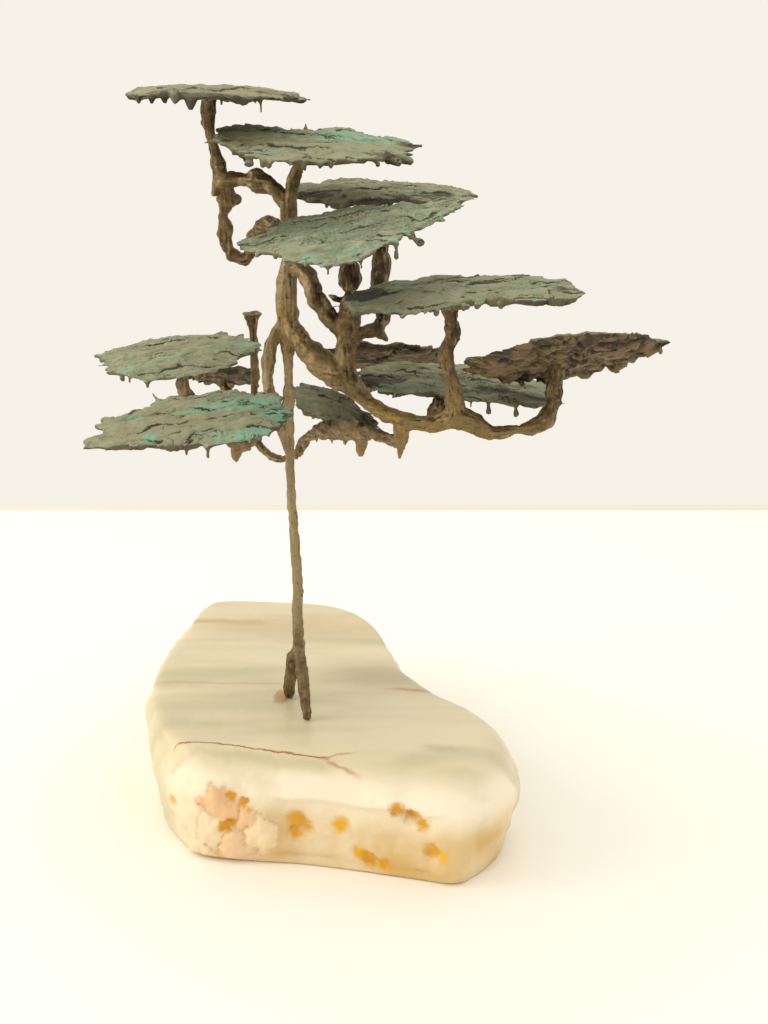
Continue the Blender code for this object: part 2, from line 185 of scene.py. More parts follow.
class Surface:
    """A fine, even mesh of one CAD node, whose points are moved and marked as whole arrays."""

    def __init__(self, name: str, node: bpy.types.Object, spacing: float,
                 beads: tuple[Bead, ...] = ()) -> None:
        """Meshes a CAD node anew, with beads melted into it.

        Args:
            name: the new piece's name.
            node: the CAD object, which stays as it is.
            spacing: how far apart the new points are, in metres.
            beads: balls that are fused with the node's own solid.
        """
        form = bmesh.new()
        form.from_mesh(node.data)
        for bead in beads:
            bmesh.ops.create_icosphere(
                form, subdivisions=2, radius=bead.radius,
                matrix=Matrix.Translation(Vector(bead.middle)))
        rough = bpy.data.meshes.new(name + "_rough")
        form.to_mesh(rough)
        form.free()
        scratch = bpy.data.objects.new(name + "_rough", rough)
        bpy.context.scene.collection.objects.link(scratch)
        remesh = scratch.modifiers.new("even mesh", "REMESH")
        remesh.mode = "VOXEL"
        remesh.voxel_size = spacing
        remesh.use_smooth_shade = True
        solved = scratch.evaluated_get(bpy.context.evaluated_depsgraph_get())
        self.mesh = bpy.data.meshes.new_from_object(solved)
        self.mesh.name = self.name = name
        bpy.data.objects.remove(scratch)
        bpy.data.meshes.remove(rough)
        self.points = points_of(self.mesh)
        self.edges = edges_of(self.mesh)

    def normals(self) -> np.ndarray:
        """The outward direction at each point as it stands now."""
        self.mesh.vertices.foreach_set("co", self.points.astype(np.float32).ravel())
        self.mesh.update()
        return rows(self.mesh.vertex_normals, "vector").astype(float)

    def spread(self, values: np.ndarray, rounds: int, grain: np.ndarray | None = None,
               keenness: int = 6) -> np.ndarray:
        """Evens values out between neighbours.

        Args:
            values: one row for each point.
            rounds: how many times each point is mixed with its neighbours.
            grain: a direction at each point; values then run along it and not across it.
            keenness: how strictly they keep to the grain.

        Returns:
            The evened values.
        """
        left, right = self.edges.T
        if grain is None:
            pull = np.ones(len(self.edges))
        else:
            along = self.points[right] - self.points[left]
            along /= np.linalg.norm(along, axis=1, keepdims=True) + 1e-12
            pull = (0.5 * np.abs((along * grain[left]).sum(1))
                    + 0.5 * np.abs((along * grain[right]).sum(1))) ** keenness
        table = values.reshape(len(values), -1)
        count = len(table)
        whole = np.bincount(left, pull, count) + np.bincount(right, pull, count) + 1e-9
        for _ in range(rounds):
            mixed = np.stack(
                [np.bincount(left, pull * column[right], count)
                 + np.bincount(right, pull * column[left], count) for column in table.T], axis=1)
            table = 0.5 * table + 0.5 * mixed / whole[:, None]
        return table.reshape(values.shape)

    def smooth(self, rounds: int, swell: float = 0.0) -> None:
        """Rounds the surface off, then swells it, in metres, to make up for the loss."""
        self.points = self.spread(self.points, rounds)
        self.points = self.points + self.normals() * swell

    def hollowness(self, rounds: int) -> np.ndarray:
        """How far each point lies below the surface around it, in millimetres."""
        lift = self.spread(self.points, rounds) - self.points
        return (lift * self.normals()).sum(1) / MM

    def mark(self, name: str, values: np.ndarray) -> None:
        """Keeps a value from 0 to 1 at each point, for the finish to read."""
        attribute = self.mesh.attributes.new(name, "FLOAT", "POINT")
        attribute.data.foreach_set("value", np.clip(values, 0, 1).astype(np.float32))

    def as_piece(self, finish: bpy.types.Material, node: str) -> bpy.types.Object:
        """Makes the mesh a piece that stands for its CAD node.

        Args:
            finish: the piece's material.
            node: the CAD node that the piece replaces.

        Returns:
            The new object.
        """
        self.normals()
        self.mesh.materials.clear()
        self.mesh.materials.append(finish)
        self.mesh.shade_smooth()
        piece = bpy.data.objects.new(self.name, self.mesh)
        bpy.context.scene.collection.objects.link(piece)
        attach(piece, "root")
        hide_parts(node)
        LOG.info("%s: %d points, %d faces", self.name, len(self.points), len(self.mesh.polygons))
        return piece


# Finishes


def linear(hex_colour: str) -> tuple[float, float, float, float]:
    """Turns an sRGB hex colour into linear light.

    Args:
        hex_colour: six hex digits after a hash, such as "#8f9678".

    Returns:
        Red, green, blue and an alpha of one.
    """
    shares = [int(hex_colour[i:i + 2], 16) / 255 for i in (1, 3, 5)]
    light = [c / 12.92 if c <= 0.04045 else ((c + 0.055) / 1.055) ** 2.4 for c in shares]
    return (*light, 1.0)


class Coating:
    """A material in the making, whose coats of colour show where their masks let them through."""

    def __init__(self, name: str, marks: tuple[str, ...]) -> None:
        """Starts the material.

        Args:
            name: what the real material is.
            marks: the meshes' marks that its masks read.
        """
        self.material = bpy.data.materials.new(name)
        self.material.use_nodes = True
        self.tree = self.material.node_tree
        self.shader = self.tree.nodes["Principled BSDF"]
        self.place = self.add_node("TexCoord", out="Object")
        self.mark = {mark: self.add_node("Attribute", out="Fac", attribute_name=mark)
                     for mark in marks}

    def add_node(self, kind: str, inputs: dict[int | str, object] | None = None,
                 out: int | str = 0, **settings: object) -> Socket:
        """Adds one shader node, with its settings, and its inputs set or linked.

        Args:
            kind: the node's type, without its ShaderNode prefix.
            inputs: for each input's name or place, a value, or an output to link to it.
            out: the name or place of the output that is wanted.
            settings: the node's own properties.

        Returns:
            That output.
        """
        node = self.tree.nodes.new("ShaderNode" + kind)
        for name, value in settings.items():
            setattr(node, name, value)
        for key, value in (inputs or {}).items():
            if isinstance(value, Socket):
                self.tree.links.new(value, node.inputs[key])
            else:
                node.inputs[key].default_value = value
        return node.outputs[out]

    def mask(self, *parts: Socket | float | tuple[Socket, float, float]) -> Socket:
        """Multiplies what a coat's strength depends on.

        Args:
            parts: numbers, values, or soft rises, each a value and where it starts and ends.

        Returns:
            The product.
        """
        whole = None
        for part in parts:
            if isinstance(part, tuple):
                value, low, high = part
                part = self.add_node(
                    "MapRange", {"Value": value, "From Min": low, "From Max": high}, "Result",
                    interpolation_type="SMOOTHSTEP")
            whole = part if whole is None else self.add_node(
                "Math", {0: whole, 1: part}, operation="MULTIPLY")
        return whole

    def finish(self, ground: str, coats: Iterable[tuple], roughness: Socket, relief: Socket,
               relief_mm: float) -> bpy.types.Material:
        """Lays the coats over the ground colour, and adds the gloss and the finest relief.

        Args:
            ground: the lowest colour.
            coats: for each coat, its colour and then the parts of its mask.
            roughness: how rough the surface is.
            relief: the fine relief, from 0 to 1.
            relief_mm: how high that relief is.

        Returns:
            The finished material.
        """
        colour = linear(ground)
        for shade, *parts in coats:
            colour = self.add_node(
                "Mix", {0: self.mask(*parts), 6: colour, 7: linear(shade)}, 2, data_type="RGBA")
        normal = self.add_node(
            "Bump", {"Height": relief, "Distance": relief_mm * MM, "Strength": 1.0}, "Normal")
        for name, value in (
                ("Base Color", colour), ("Roughness", roughness), ("Normal", normal)):
            self.tree.links.new(value, self.shader.inputs[name])
        return self.material


@dataclass(frozen=True)
class Verdigris:
    """Copper carbonate patina on torch-puddled bronze plate. The eye gets a dry, chalky grey-green
    crust in flakes, tan where it is thin, bright turquoise where water stood, nearly black
    bronze down in the cracks, and bare brown metal underneath. Shade is painted on the downward
    faces, in the hollows, pits and gullies, and in the dark patches."""

    crust: str = "#7b8267"
    pale_crust: str = "#949a7c"
    thin_crust: str = "#8c8262"
    dust: str = "#a9a58a"
    # This dark colour is random dark crust in places, and painted shade in the dark patches.
    dark_tone_and_painted_shade: str = "#3d3b2a"
    wet_bloom: str = "#57ad8b"
    pale_bloom: str = "#7fa68b"
    # The crack colour is the dark bronze in the crust's cracks, and painted shade in the hollows,
    # pits and gullies.
    crack: str = "#29231a"
    shaded: str = "#48483a"
    shaded_light: str = "#6f6d55"
    bare: str = "#45361f"
    bare_light: str = "#7a6545"
    bare_olive: str = "#565230"
    bare_dark: str = "#171006"
    mottle_mm: float = 6.0
    grit_mm: float = 1.1
    stain_mm: float = 15.6
    grit_height_mm: float = 0.22
    ledge_line: float = 0.050
    chip_line: float = 0.045
    break_line: float = 0.032
    crust_roughness: float = 0.88
    bare_roughness: float = 0.55
    bare_metal: float = 0.45

    @staticmethod
    def line(coat: Coating, name: str, opening: str, grit: Socket, width: float) -> Socket:
        """A ragged dark line where a mark passes its middle, as wide as the crack is open.

        Args:
            coat: the material in the making.
            name: the mark that the line follows.
            opening: the mark that says how open the crack is.
            grit: what makes the line ragged.
            width: the line's width, as a share of the mark.

        Returns:
            The line's mask.
        """
        opened = coat.mark[opening]
        off = coat.add_node("Math", {0: coat.mark[name], 1: 0.5}, operation="SUBTRACT")
        off = coat.add_node("Math", {0: off}, operation="ABSOLUTE")
        reach = coat.add_node(
            "Math", {0: grit, 1: 1.4 * width, 2: -0.5 * width}, operation="MULTIPLY_ADD")
        reach = coat.add_node("Math", {0: opened, 1: width, 2: reach}, operation="MULTIPLY_ADD")
        inside = coat.add_node("Math", {0: coat.mask(opened, reach), 1: off}, operation="SUBTRACT")
        return coat.mask((inside, -0.2 * width, 0.5 * width))

    def build(self) -> bpy.types.Material:
        """Makes the material, with its masks read from the plates' marks."""
        coat = Coating("verdigris crust on bronze plate", (
            "ledge", "chip", "break", "open", "open_fine", "crevice_painted_shade", "flake", "under", "bloom",
            "thin", "bare", "dark_tone_and_painted_shade"))
        mark, under, bare = coat.mark, coat.mark["under"], coat.mark["bare"]
        mottle, grit, stains = (
            coat.add_node("TexNoise", {
                "Vector": coat.place, "Scale": 1 / (width * MM), "Detail": detail,
                "Roughness": rough}, "Fac")
            for width, detail, rough in (
                (self.mottle_mm, 5.0, 0.65), (self.grit_mm, 4.0, 0.6), (self.stain_mm, 6.0, 0.7)))
        broken, painted_shade_at, crevice_shade_at, lump_at = (
            coat.add_node("Math", {0: value, 1: share, 2: mark[name]}, operation="MULTIPLY_ADD")
            for value, share, name in (
                (mottle, 1.0, "bloom"), (grit, 1.0, "dark_tone_and_painted_shade"), (grit, 0.5, "crevice_painted_shade"),
                (grit, 0.6, "flake")))
        coats = (
            (self.pale_crust, (mottle, 0.38, 0.66)),
            (self.pale_crust, (mark["flake"], 0.35, 1.0), 0.45),
            (self.thin_crust, (mark["thin"], 0.25, 0.95), (grit, 0.34, 0.66)),
            (self.thin_crust, (stains, 0.48, 0.66), 0.40),
            (self.dust, (grit, 0.54, 0.72), 0.65),
            (self.dark_tone_and_painted_shade, (stains, 0.50, 0.32), (grit, 0.62, 0.40), 0.55),
            (self.pale_bloom, (broken, 0.62, 1.30), 0.78),
            (self.wet_bloom, (broken, 1.30, 1.75), 0.80),
            # Painted shade: the downward faces and hanging rims are darker, and lighter on their
            # lumps.
            (self.shaded, under),
            (self.shaded_light, under, (lump_at, 0.35, 1.00)),
            # Painted shade: the dark patches of the plates, in the dark colour.
            (self.dark_tone_and_painted_shade, (painted_shade_at, 0.75, 1.25), 0.85),
            (self.bare, bare),
            (self.bare_olive, bare, (stains, 0.47, 0.62), 0.7),
            (self.bare_light, bare, (lump_at, 0.60, 1.25), 0.8),
            (self.bare_dark, bare, (mottle, 0.50, 0.38), 0.8),
            (self.crack, self.line(coat, "ledge", "open", grit, self.ledge_line), 0.85),
            (self.crack, self.line(coat, "chip", "open_fine", grit, self.chip_line), 0.75),
            (self.crack, self.line(coat, "break", "open_fine", grit, self.break_line), 0.7),
            # Painted shade: the hollows, pits and gullies darkened with the crack colour.
            (self.crack, (crevice_shade_at, 0.42, 0.92)),
        )
        coat.tree.links.new(coat.mask(bare, self.bare_metal), coat.shader.inputs["Metallic"])
        roughness = coat.add_node(
            "Mix", {0: bare, 2: self.crust_roughness, 3: self.bare_roughness})
        return coat.finish(self.crust, coats, roughness, grit, self.grit_height_mm)


@dataclass(frozen=True)
class BrazedBronze:
    """Bronze rod melted and drawn with a brazing torch, then let go brown. The eye gets grooves
    like bark, dark in their depths, where shade is painted, brown on their flanks and rubbed to
    old gold on the swellings, with the dull gloss of handled metal."""

    brown: str = "#614f2e"
    grey_brown: str = "#806e4a"
    # The groove colour is the dark of the grain and of random specks, and painted shade in the
    # hollows.
    dark_groove_and_painted_shade: str = "#241b0d"
    rubbed: str = "#a5946e"
    old_gold: str = "#957d46"
    trunk_tan: str = "#9f8d6a"
    # The umber is painted shade on limbs that lie in shade under the plates.
    umber_painted_shade: str = "#3d2c14"
    mottle_mm: float = 4.0
    speck_mm: float = 1.3
    grain_mm: float = 0.8
    grain_height_mm: float = 0.2
    metal: float = 0.5
    roughness: float = 0.44

    def build(self) -> bpy.types.Material:
        """Makes the material, with its masks read from the limbs' marks."""
        coat = Coating("brown brazed bronze", ("streak", "dark_groove_and_painted_shade", "ridge", "gold", "tan", "dark"))
        coat.shader.inputs["Metallic"].default_value = self.metal
        mark = coat.mark
        mottle, grain, speck = (
            coat.add_node("TexNoise", {
                "Vector": coat.place, "Scale": 1 / (width * MM), "Detail": detail,
                "Roughness": rough}, "Fac")
            for width, detail, rough in (
                (self.mottle_mm, 5.0, 0.6), (self.grain_mm, 3.0, 0.5), (self.speck_mm, 4.0, 0.65)))
        streak = coat.add_node(
            "Math", {0: speck, 1: 0.55, 2: mark["streak"]}, operation="MULTIPLY_ADD")
        coats = (
            (self.grey_brown, (mottle, 0.40, 0.65)),
            (self.trunk_tan, mark["tan"], 0.8),
            (self.old_gold, mark["gold"], (mottle, 0.64, 0.34)),
            # Painted shade on the limbs under the plates.
            (self.umber_painted_shade, mark["dark"], (mottle, 0.70, 0.40)),
            (self.rubbed, (streak, 0.90, 1.20), 0.6),
            (self.dark_groove_and_painted_shade, (speck, 0.47, 0.30), 0.55),
            (self.rubbed, (mark["ridge"], 0.25, 0.9), 0.55),
            (self.dark_groove_and_painted_shade, (streak, 0.62, 0.36), 0.75),
            # Painted shade: the hollows darkened.
            (self.dark_groove_and_painted_shade, (mark["dark_groove_and_painted_shade"], 0.15, 0.85)),
        )
        roughness = coat.add_node("MapRange", {
            "Value": grain, "To Min": self.roughness - 0.1, "To Max": self.roughness + 0.2},
            "Result")
        return coat.finish(self.brown, coats, roughness, grain, self.grain_height_mm)


@dataclass(frozen=True)
class Seam:
    """A coloured seam across the onyx, or a band of painted shade, in millimetres: where it starts
    and ends, seen from above, how far it fades to each side, its colour, how strong it is, and
    above what height it shows."""

    start: tuple[float, float]
    end: tuple[float, float]
    fade: float
    colour: str
    strength: float
    above: float = -10.0


@dataclass(frozen=True)
class Spot:
    """A coloured spot on the slab, in millimetres: its middle, its reach and its colour, and how
    deep it is broken into the stone."""

    middle: tuple[float, float, float]
    reach: float
    colour: str
    depth: float = 0.0


@dataclass(frozen=True)
class BandedOnyx:
    """Banded calcite, sold as onyx, its top ground smooth and waxed. Light goes some way into it,
    so the eye gets a soft, milky stone with faint green and cream bands and warm edges."""

    cream: str = "#d5c9a5"
    milk: str = "#e3d8b7"
    green_grey: str = "#bdb995"
    # The shoulder colour is partly the stone's pale band and partly a painted highlight where the
    # front curves up; the low amber is painted shade with a painted glow of light through the
    # stone.
    shoulder: str = "#f6ebd3"
    low_amber_painted_shade: str = "#d2ae63"
    pink: str = "#e6ba88"
    crystal: str = "#f3dcb2"
    ochre: str = "#dfa020"
    band_mm: float = 21.0
    cloud_mm: float = 26.0
    polish_roughness: float = 0.38
    broken_roughness: float = 0.55
    break_height_mm: float = 0.25
    seam_end_mm: float = 3.0
    seam_end_share: float = 0.45
    light_depth_mm: float = 6.0
    translucence: float = 0.22

    def build(self, seams: tuple[Seam, ...], spots: tuple[Spot, ...]) -> bpy.types.Material:
        """Makes the material.

        Args:
            seams: the seams that run across the slab.
            spots: the stained pits, crystals and glue on it.

        Returns:
            The new material.
        """
        coat = Coating("banded onyx", ("broken", "front", "low", "pink", "white", "joint"))
        mark = coat.mark
        for name, value in (
                ("Weight", self.translucence), ("Radius", (1.0, 0.8, 0.5)),
                ("Scale", self.light_depth_mm * MM)):
            coat.shader.inputs["Subsurface " + name].default_value = value
        in_mm = coat.add_node("VectorMath", {0: coat.place, "Scale": 1 / MM}, operation="SCALE")
        moved = []
        for width, detail, rough, shift in ((14.0, 4.0, 0.6, 7.0), (4.2, 3.0, 0.55, 5.5)):
            stir = coat.add_node("TexNoise", {
                "Vector": in_mm, "Scale": 1 / width, "Detail": detail, "Roughness": rough}, "Color")
            off = coat.add_node(
                "VectorMath", {0: stir, 1: (0.5, 0.5, 0.5)}, operation="SUBTRACT")
            off = coat.add_node("VectorMath", {0: off, "Scale": shift}, operation="SCALE")
            moved.append(coat.add_node("VectorMath", {0: in_mm, 1: off}, operation="ADD"))
        warped, frayed = moved
        ragged = stir.node.outputs["Fac"]
        bands_at = coat.add_node("VectorMath", {
            0: warped, 1: (0.2 / self.band_mm, 1 / self.band_mm, 0.2 / self.band_mm)},
            operation="MULTIPLY")
        bands = coat.add_node("TexNoise", {
            "Vector": bands_at, "Scale": 1.0, "Detail": 2.0, "Roughness": 0.5}, "Fac")
        clouds = coat.add_node("TexNoise", {
            "Vector": in_mm, "Scale": 1 / self.cloud_mm, "Detail": 4.0}, "Fac")
        across = coat.add_node("SeparateXYZ", {0: warped}, "X")
        back = across.node.outputs["Y"]
        height = coat.add_node("SeparateXYZ", {0: in_mm}, "Z")
        coats = [
            (self.milk, (bands, 0.42, 0.66)),
            (self.green_grey, (bands, 0.50, 0.32), 0.55),
            (self.milk, (clouds, 0.52, 0.72), 0.5),
            # Painted highlight on the front's shoulder, and painted shade and glow low on the
            # front.
            (self.shoulder, mark["front"], (clouds, 0.20, 0.50)),
            (self.low_amber_painted_shade, mark["low"], (clouds, 1.10, 0.20)),
        ]
        for seam in seams:
            (x0, y0), (x1, y1) = seam.start, seam.end
            slope = (y1 - y0) / (x1 - x0)
            line = coat.add_node(
                "Math", {0: across, 1: slope, 2: y0 - slope * x0}, operation="MULTIPLY_ADD")
            off = coat.add_node("Math", {0: back, 1: line}, operation="SUBTRACT")
            off = coat.add_node("Math", {0: off}, operation="ABSOLUTE")
            soft = self.seam_end_mm + self.seam_end_share * seam.fade
            coats.append((
                seam.colour, (off, seam.fade, 0.0), (across, x0 - soft, x0 + soft),
                (across, x1 + soft, x1 - soft), (height, seam.above - 2, seam.above + 1),
                seam.strength))
        coats += [
            (self.pink, mark["pink"]), (self.crystal, mark["white"]),
            (self.ochre, mark["joint"], (ragged, 0.42, 0.60))]
        for spot in spots:
            away = coat.add_node("VectorMath", {0: frayed, 1: spot.middle}, operation="SUBTRACT")
            away = coat.add_node("VectorMath", {0: away, 1: (1.0, 0.4, 1.0)}, operation="MULTIPLY")
            away = coat.add_node("VectorMath", {0: away}, "Value", operation="LENGTH")
            coats.append((spot.colour, (away, spot.reach * 1.15, spot.reach * 0.45)))
        roughness = coat.add_node("Mix", {
            0: mark["broken"], 2: self.polish_roughness, 3: self.broken_roughness})
        return coat.finish(self.cream, coats, roughness, ragged, self.break_height_mm)


# The plates


class Stain(Enum):
    """What a plate's patina turns to in places, or painted shade, and the mark that says so."""

    BLOOM = "bloom"
    THIN = "thin"
    BARE = "bare"
    PAINTED_SHADE = "dark_tone_and_painted_shade"


@dataclass(frozen=True)
class Patch:
    """A stained place on a plate, or one with painted shade: its middle, right and back of the
    plate's own middle, how wide and deep it is, and how strong."""

    stain: Stain
    across: float
    back: float
    width: float
    depth: float
    strength: float = 1.0


@dataclass(frozen=True)
class Spur:
    """A drop or twig at a plate's rim: its bearing in degrees from the right, anticlockwise, how
    far it goes out and down, and its radius at its root and its tip."""

    bearing: float
    out: float
    down: float
    root: float = 1.0
    tip: float = 0.7


@dataclass(frozen=True)
class Bite:
    """A gap torn out of a plate's rim: its bearing and half its width in degrees, and how deep it
    is in millimetres."""

    bearing: float
    half_width: float
    depth: float


@dataclass(frozen=True)
class Pull:
    """A part of a plate that is drawn forward: its middle, how wide and deep it is, and how far it
    is drawn, in millimetres."""

    across: float
    back: float
    width: float
    depth: float
    forward: float


@dataclass
class Plate:
    """One foliage plate. Its tone goes from green at 0 to tan at 1, and its underside from crusted
    at 0 to bare metal at 1."""

    node: str
    seed: int
    tone: float
    cracks: float = 1.0
    bare_below: float = 0.3
    patches: tuple[Patch, ...] = ()
    spurs: tuple[Spur, ...] = ()
    bites: tuple[Bite, ...] = ()
    pulls: tuple[Pull, ...] = ()
    spacing: float = 0.58
    flake_width: float = 21.0
    flake_depth: float = 7.5
    chip_width: float = 9.5
    chip_depth: float = 3.8
    run_drops: int = 6
    rim_blobs: int = 26
    rim_loss: float = 0.45
    rim_bearings: int = 360
    pit_spacing: float = 9.0
    pit_depth: float = 1.4
    lobe_depth: float = 3.4
    shelf_step: float = 0.60
    chip_step: float = 0.32
    ledge_swell: float = 0.42
    rim_curl: float = 0.9

    def lay_out(self, node: bpy.types.Object) -> None:
        """Finds the plate's middle, its own axes and how far its rim reaches all round.

        Args:
            node: the plate's CAD object.
        """
        points = points_of(node.data)
        self.middle = points.mean(0)
        frame = np.linalg.eigh(np.cov((points - self.middle).T))[1]
        self.up = frame[:, 0] * np.sign(frame[2, 0])
        right = WORLD_RIGHT - self.up * (WORLD_RIGHT @ self.up)
        self.right = right / np.linalg.norm(right)
        self.back = np.cross(self.up, self.right)
        ends = points[edges_of(node.data)]
        along = np.linspace(0, 1, 25)[:, None, None]
        samples = (ends[:, 0] * (1 - along) + ends[:, 1] * along).reshape(-1, 3)
        across, back, _ = self.local(samples)
        turn = np.arctan2(back, across)
        place = np.floor(turn / (2 * np.pi) * self.rim_bearings).astype(int) % self.rim_bearings
        reach = np.zeros(self.rim_bearings)
        np.maximum.at(reach, place, np.hypot(across, back))
        bearings = (np.arange(self.rim_bearings) + 0.5) * 2 * np.pi / self.rim_bearings
        found = reach > 0.6 * np.median(reach)
        self.reach_at = lambda turn: np.interp(
            turn, bearings[found], reach[found], period=2 * np.pi)

    def local(self, points: np.ndarray) -> tuple[np.ndarray, np.ndarray, np.ndarray]:
        """Points in metres as millimetres right of, back from and above the plate's middle."""
        off = (points - self.middle) / MM
        return off @ self.right, off @ self.back, off @ self.up

    def rim_point(self, bearing: float, share: float) -> np.ndarray:
        """A place on the plate.

        Args:
            bearing: its direction from the middle, in degrees from the right, anticlockwise.
            share: how far it is on the way from the middle to the rim.

        Returns:
            The place, in metres.
        """
        turn = math.radians(bearing)
        reach = float(self.reach_at(turn)) * share * MM
        return self.middle + (self.right * math.cos(turn) + self.back * math.sin(turn)) * reach

    def beads(self, heights: np.ndarray) -> tuple[Bead, ...]:
        """The drops and twigs of the rim, as chains of beads.

        Args:
            heights: how far the rim is above the plate's middle plane, at each degree.

        Returns:
            All beads, in metres.
        """
        rng = np.random.default_rng(self.seed)
        spurs = list(self.spurs)
        for _ in range(self.run_drops):
            bearing, size = rng.uniform(0, 360), rng.uniform(0.6, 1.1)
            spurs.append(Spur(bearing, rng.uniform(-0.6, 0.6), rng.uniform(0.6, 1.8) * size,
                              0.7 * size + 0.2, 1.0 * size + 0.2))
        for _ in range(self.rim_blobs):
            bearing, size = rng.uniform(0, 360), rng.uniform(0.3, 1.0)
            spurs.append(Spur(bearing, rng.uniform(-0.2, 1.3), rng.uniform(-0.1, 0.5),
                              0.7 * size + 0.3, 0.6 * size + 0.3))
        made = []
        for spur in spurs:
            root = self.rim_point(spur.bearing, 0.975)
            root = root + self.up * heights[int(spur.bearing) % self.rim_bearings] * MM
            turn = math.radians(spur.bearing)
            outward = self.right * math.cos(turn) + self.back * math.sin(turn)
            length = math.hypot(spur.out, spur.down) + 0.01
            steps = max(2, math.ceil(length / (0.55 * min(spur.root, spur.tip))))
            for k in range(steps + 1):
                share = k / steps
                middle = root + (outward * spur.out * share
                                 - WORLD_UP * spur.down * share**1.4) * MM
                pinch = 1 - 0.35 * math.sin(math.pi * share) * (spur.down > 1.5)
                radius = (spur.root * (1 - share) + spur.tip * share) * pinch
                made.append(Bead(middle, radius * MM))
        return tuple(made)

    def rim_heights(self, node: bpy.types.Object) -> np.ndarray:
        """Finds how high the rim is at each degree.

        Args:
            node: the plate's CAD object.

        Returns:
            Heights in millimetres from the plate's middle plane.
        """
        across, back, height = self.local(points_of(node.data))
        turn, far = np.arctan2(back, across), np.hypot(across, back)
        outer = far > 0.9 * self.reach_at(turn)
        order = np.argsort(turn[outer])
        degrees = np.radians(np.arange(self.rim_bearings))
        return np.interp(degrees, turn[outer][order], height[outer][order], period=2 * np.pi)

    def tear_rim(self, surface: Surface) -> None:
        """Frays the rim in and out, bends it up and down a little and draws parts of it forward.

        Args:
            surface: the plate's mesh, whose points are moved.
        """
        across, back, _ = self.local(surface.points)
        turn, far = np.arctan2(back, across), np.hypot(across, back)
        reach = self.reach_at(turn)
        rim = np.stack([np.cos(turn), np.sin(turn)], 1) * reach[:, None]
        torn = (1.5 * np.tanh(2.2 * noise(rim / 7.5, self.seed))
                + 1.3 * noise(rim / 2.9, self.seed + 3) + 0.7 * noise(rim / 1.5, self.seed + 4))
        for bite in self.bites:
            off = (np.degrees(turn) - bite.bearing + 180) % 360 - 180
            torn = torn - bite.depth * smoothstep(bite.half_width, 0.25 * bite.half_width, abs(off))
        share = smoothstep(0.62, 0.97, far / reach)
        curl = self.rim_curl * noise(rim / 13.0, self.seed + 5) * smoothstep(0.6, 1.0, far / reach)
        outward = (self.right * np.cos(turn)[:, None] + self.back * np.sin(turn)[:, None])
        surface.points = (surface.points + outward * (share * torn * MM)[:, None]
                          + self.up * (curl * MM)[:, None])
        for pull in self.pulls:
            away = np.hypot((across - pull.across) / pull.width, (back - pull.back) / pull.depth)
            forward = pull.forward * smoothstep(1.0, 0.0, away)
            surface.points = surface.points - self.back * (forward * MM)[:, None]

    def build(self, node: bpy.types.Object, finish: bpy.types.Material) -> bpy.types.Object:
        """Meshes, carves and marks the plate.

        Args:
            node: the plate's CAD object.
            finish: the plate's material.

        Returns:
            The new piece.
        """
        self.lay_out(node)
        heights = self.rim_heights(node)
        surface = Surface(
            self.node.replace("foliage_pad", "verdigris_plate"), node, self.spacing * MM,
            self.beads(heights))
        self.tear_rim(surface)
        surface.smooth(1)
        across, back, above = self.local(surface.points)
        far = np.hypot(across, back) / self.reach_at(np.arctan2(back, across))
        facing = surface.normals() @ self.up
        rim_height = np.interp(
            np.arctan2(back, across) % (2 * np.pi),
            np.radians(np.arange(self.rim_bearings)), heights)
        top, under = smoothstep(0.15, 0.6, facing), smoothstep(-0.1, -0.55, facing)
        # The crust breaks into long ledges, smaller chips and short breaks across them
        flat = np.stack([across, back], 1)
        drift = np.stack([noise(flat / 10, self.seed + 7, 3), noise(flat / 7, self.seed + 8, 3)], 1)
        bent = flat + drift * (3.6, 2.3)
        ledges = noise(bent / (self.flake_width, self.flake_depth), self.seed + 11, 3)
        chips = noise(bent / (self.chip_width, self.chip_depth), self.seed + 13, 2)
        breaks = noise(bent / (1.6 * self.chip_depth, 0.5 * self.flake_width), self.seed + 15, 2)
        opening = smoothstep(-0.45, 0.5, noise(flat / (14, 8), self.seed + 17, 2))
        fine_opening = smoothstep(-0.1, 0.65, noise(flat / (9, 6), self.seed + 19, 2))
        shelf, scale = smoothstep(-0.10, 0.10, ledges), smoothstep(-0.12, 0.12, chips)
        rift = (0.55 * opening * smoothstep(0.14, 0.0, np.abs(ledges + 0.05))
                + 0.34 * fine_opening * smoothstep(0.18, 0.0, np.abs(chips + 0.05))
                + 0.25 * fine_opening * smoothstep(0.16, 0.0, np.abs(breaks)))
        height = (
            self.shelf_step * (shelf - 0.5) + self.chip_step * (scale - 0.5)
            + self.ledge_swell * ledges
            + 0.34 * noise(flat / 5.5, self.seed + 21) + 0.22 * noise(flat / 2.3, self.seed + 23, 2)
            - rift * self.cracks)
        height = np.where(far > 0.88, np.maximum(height, -0.35), height)
        # The underside boils up into lobes with gullies between them and a few round pits
        pit_lot, pit_off = cracked(bent / self.pit_spacing + 11, self.seed + 37)
        pit = smoothstep(0.35, 0.60, pit_lot) * smoothstep(0.32, 0.14, pit_off)
        billow = np.abs(noise(bent / (8.5, 6.0), self.seed + 29, 2))
        lobes = np.abs(noise(bent / (4.2, 3.4) + 7, self.seed + 31))
        gully = np.maximum(smoothstep(0.15, 0.02, billow), 0.6 * smoothstep(0.10, 0.0, lobes))
        boiled = (self.lobe_depth * np.minimum(billow, 0.65) + 1.1 * lobes - 0.3
                  - self.pit_depth * pit)
        lowering = (boiled * smoothstep(1.0, 0.84, far) * (0.3 + 0.7 * self.bare_below)
                    - self.rim_loss * smoothstep(0.80, 0.94, far) * smoothstep(
                        -2.2, -1.4, above - rim_height))
        surface.points = surface.points + self.up * (
            (top * height - under * lowering) * MM)[:, None]
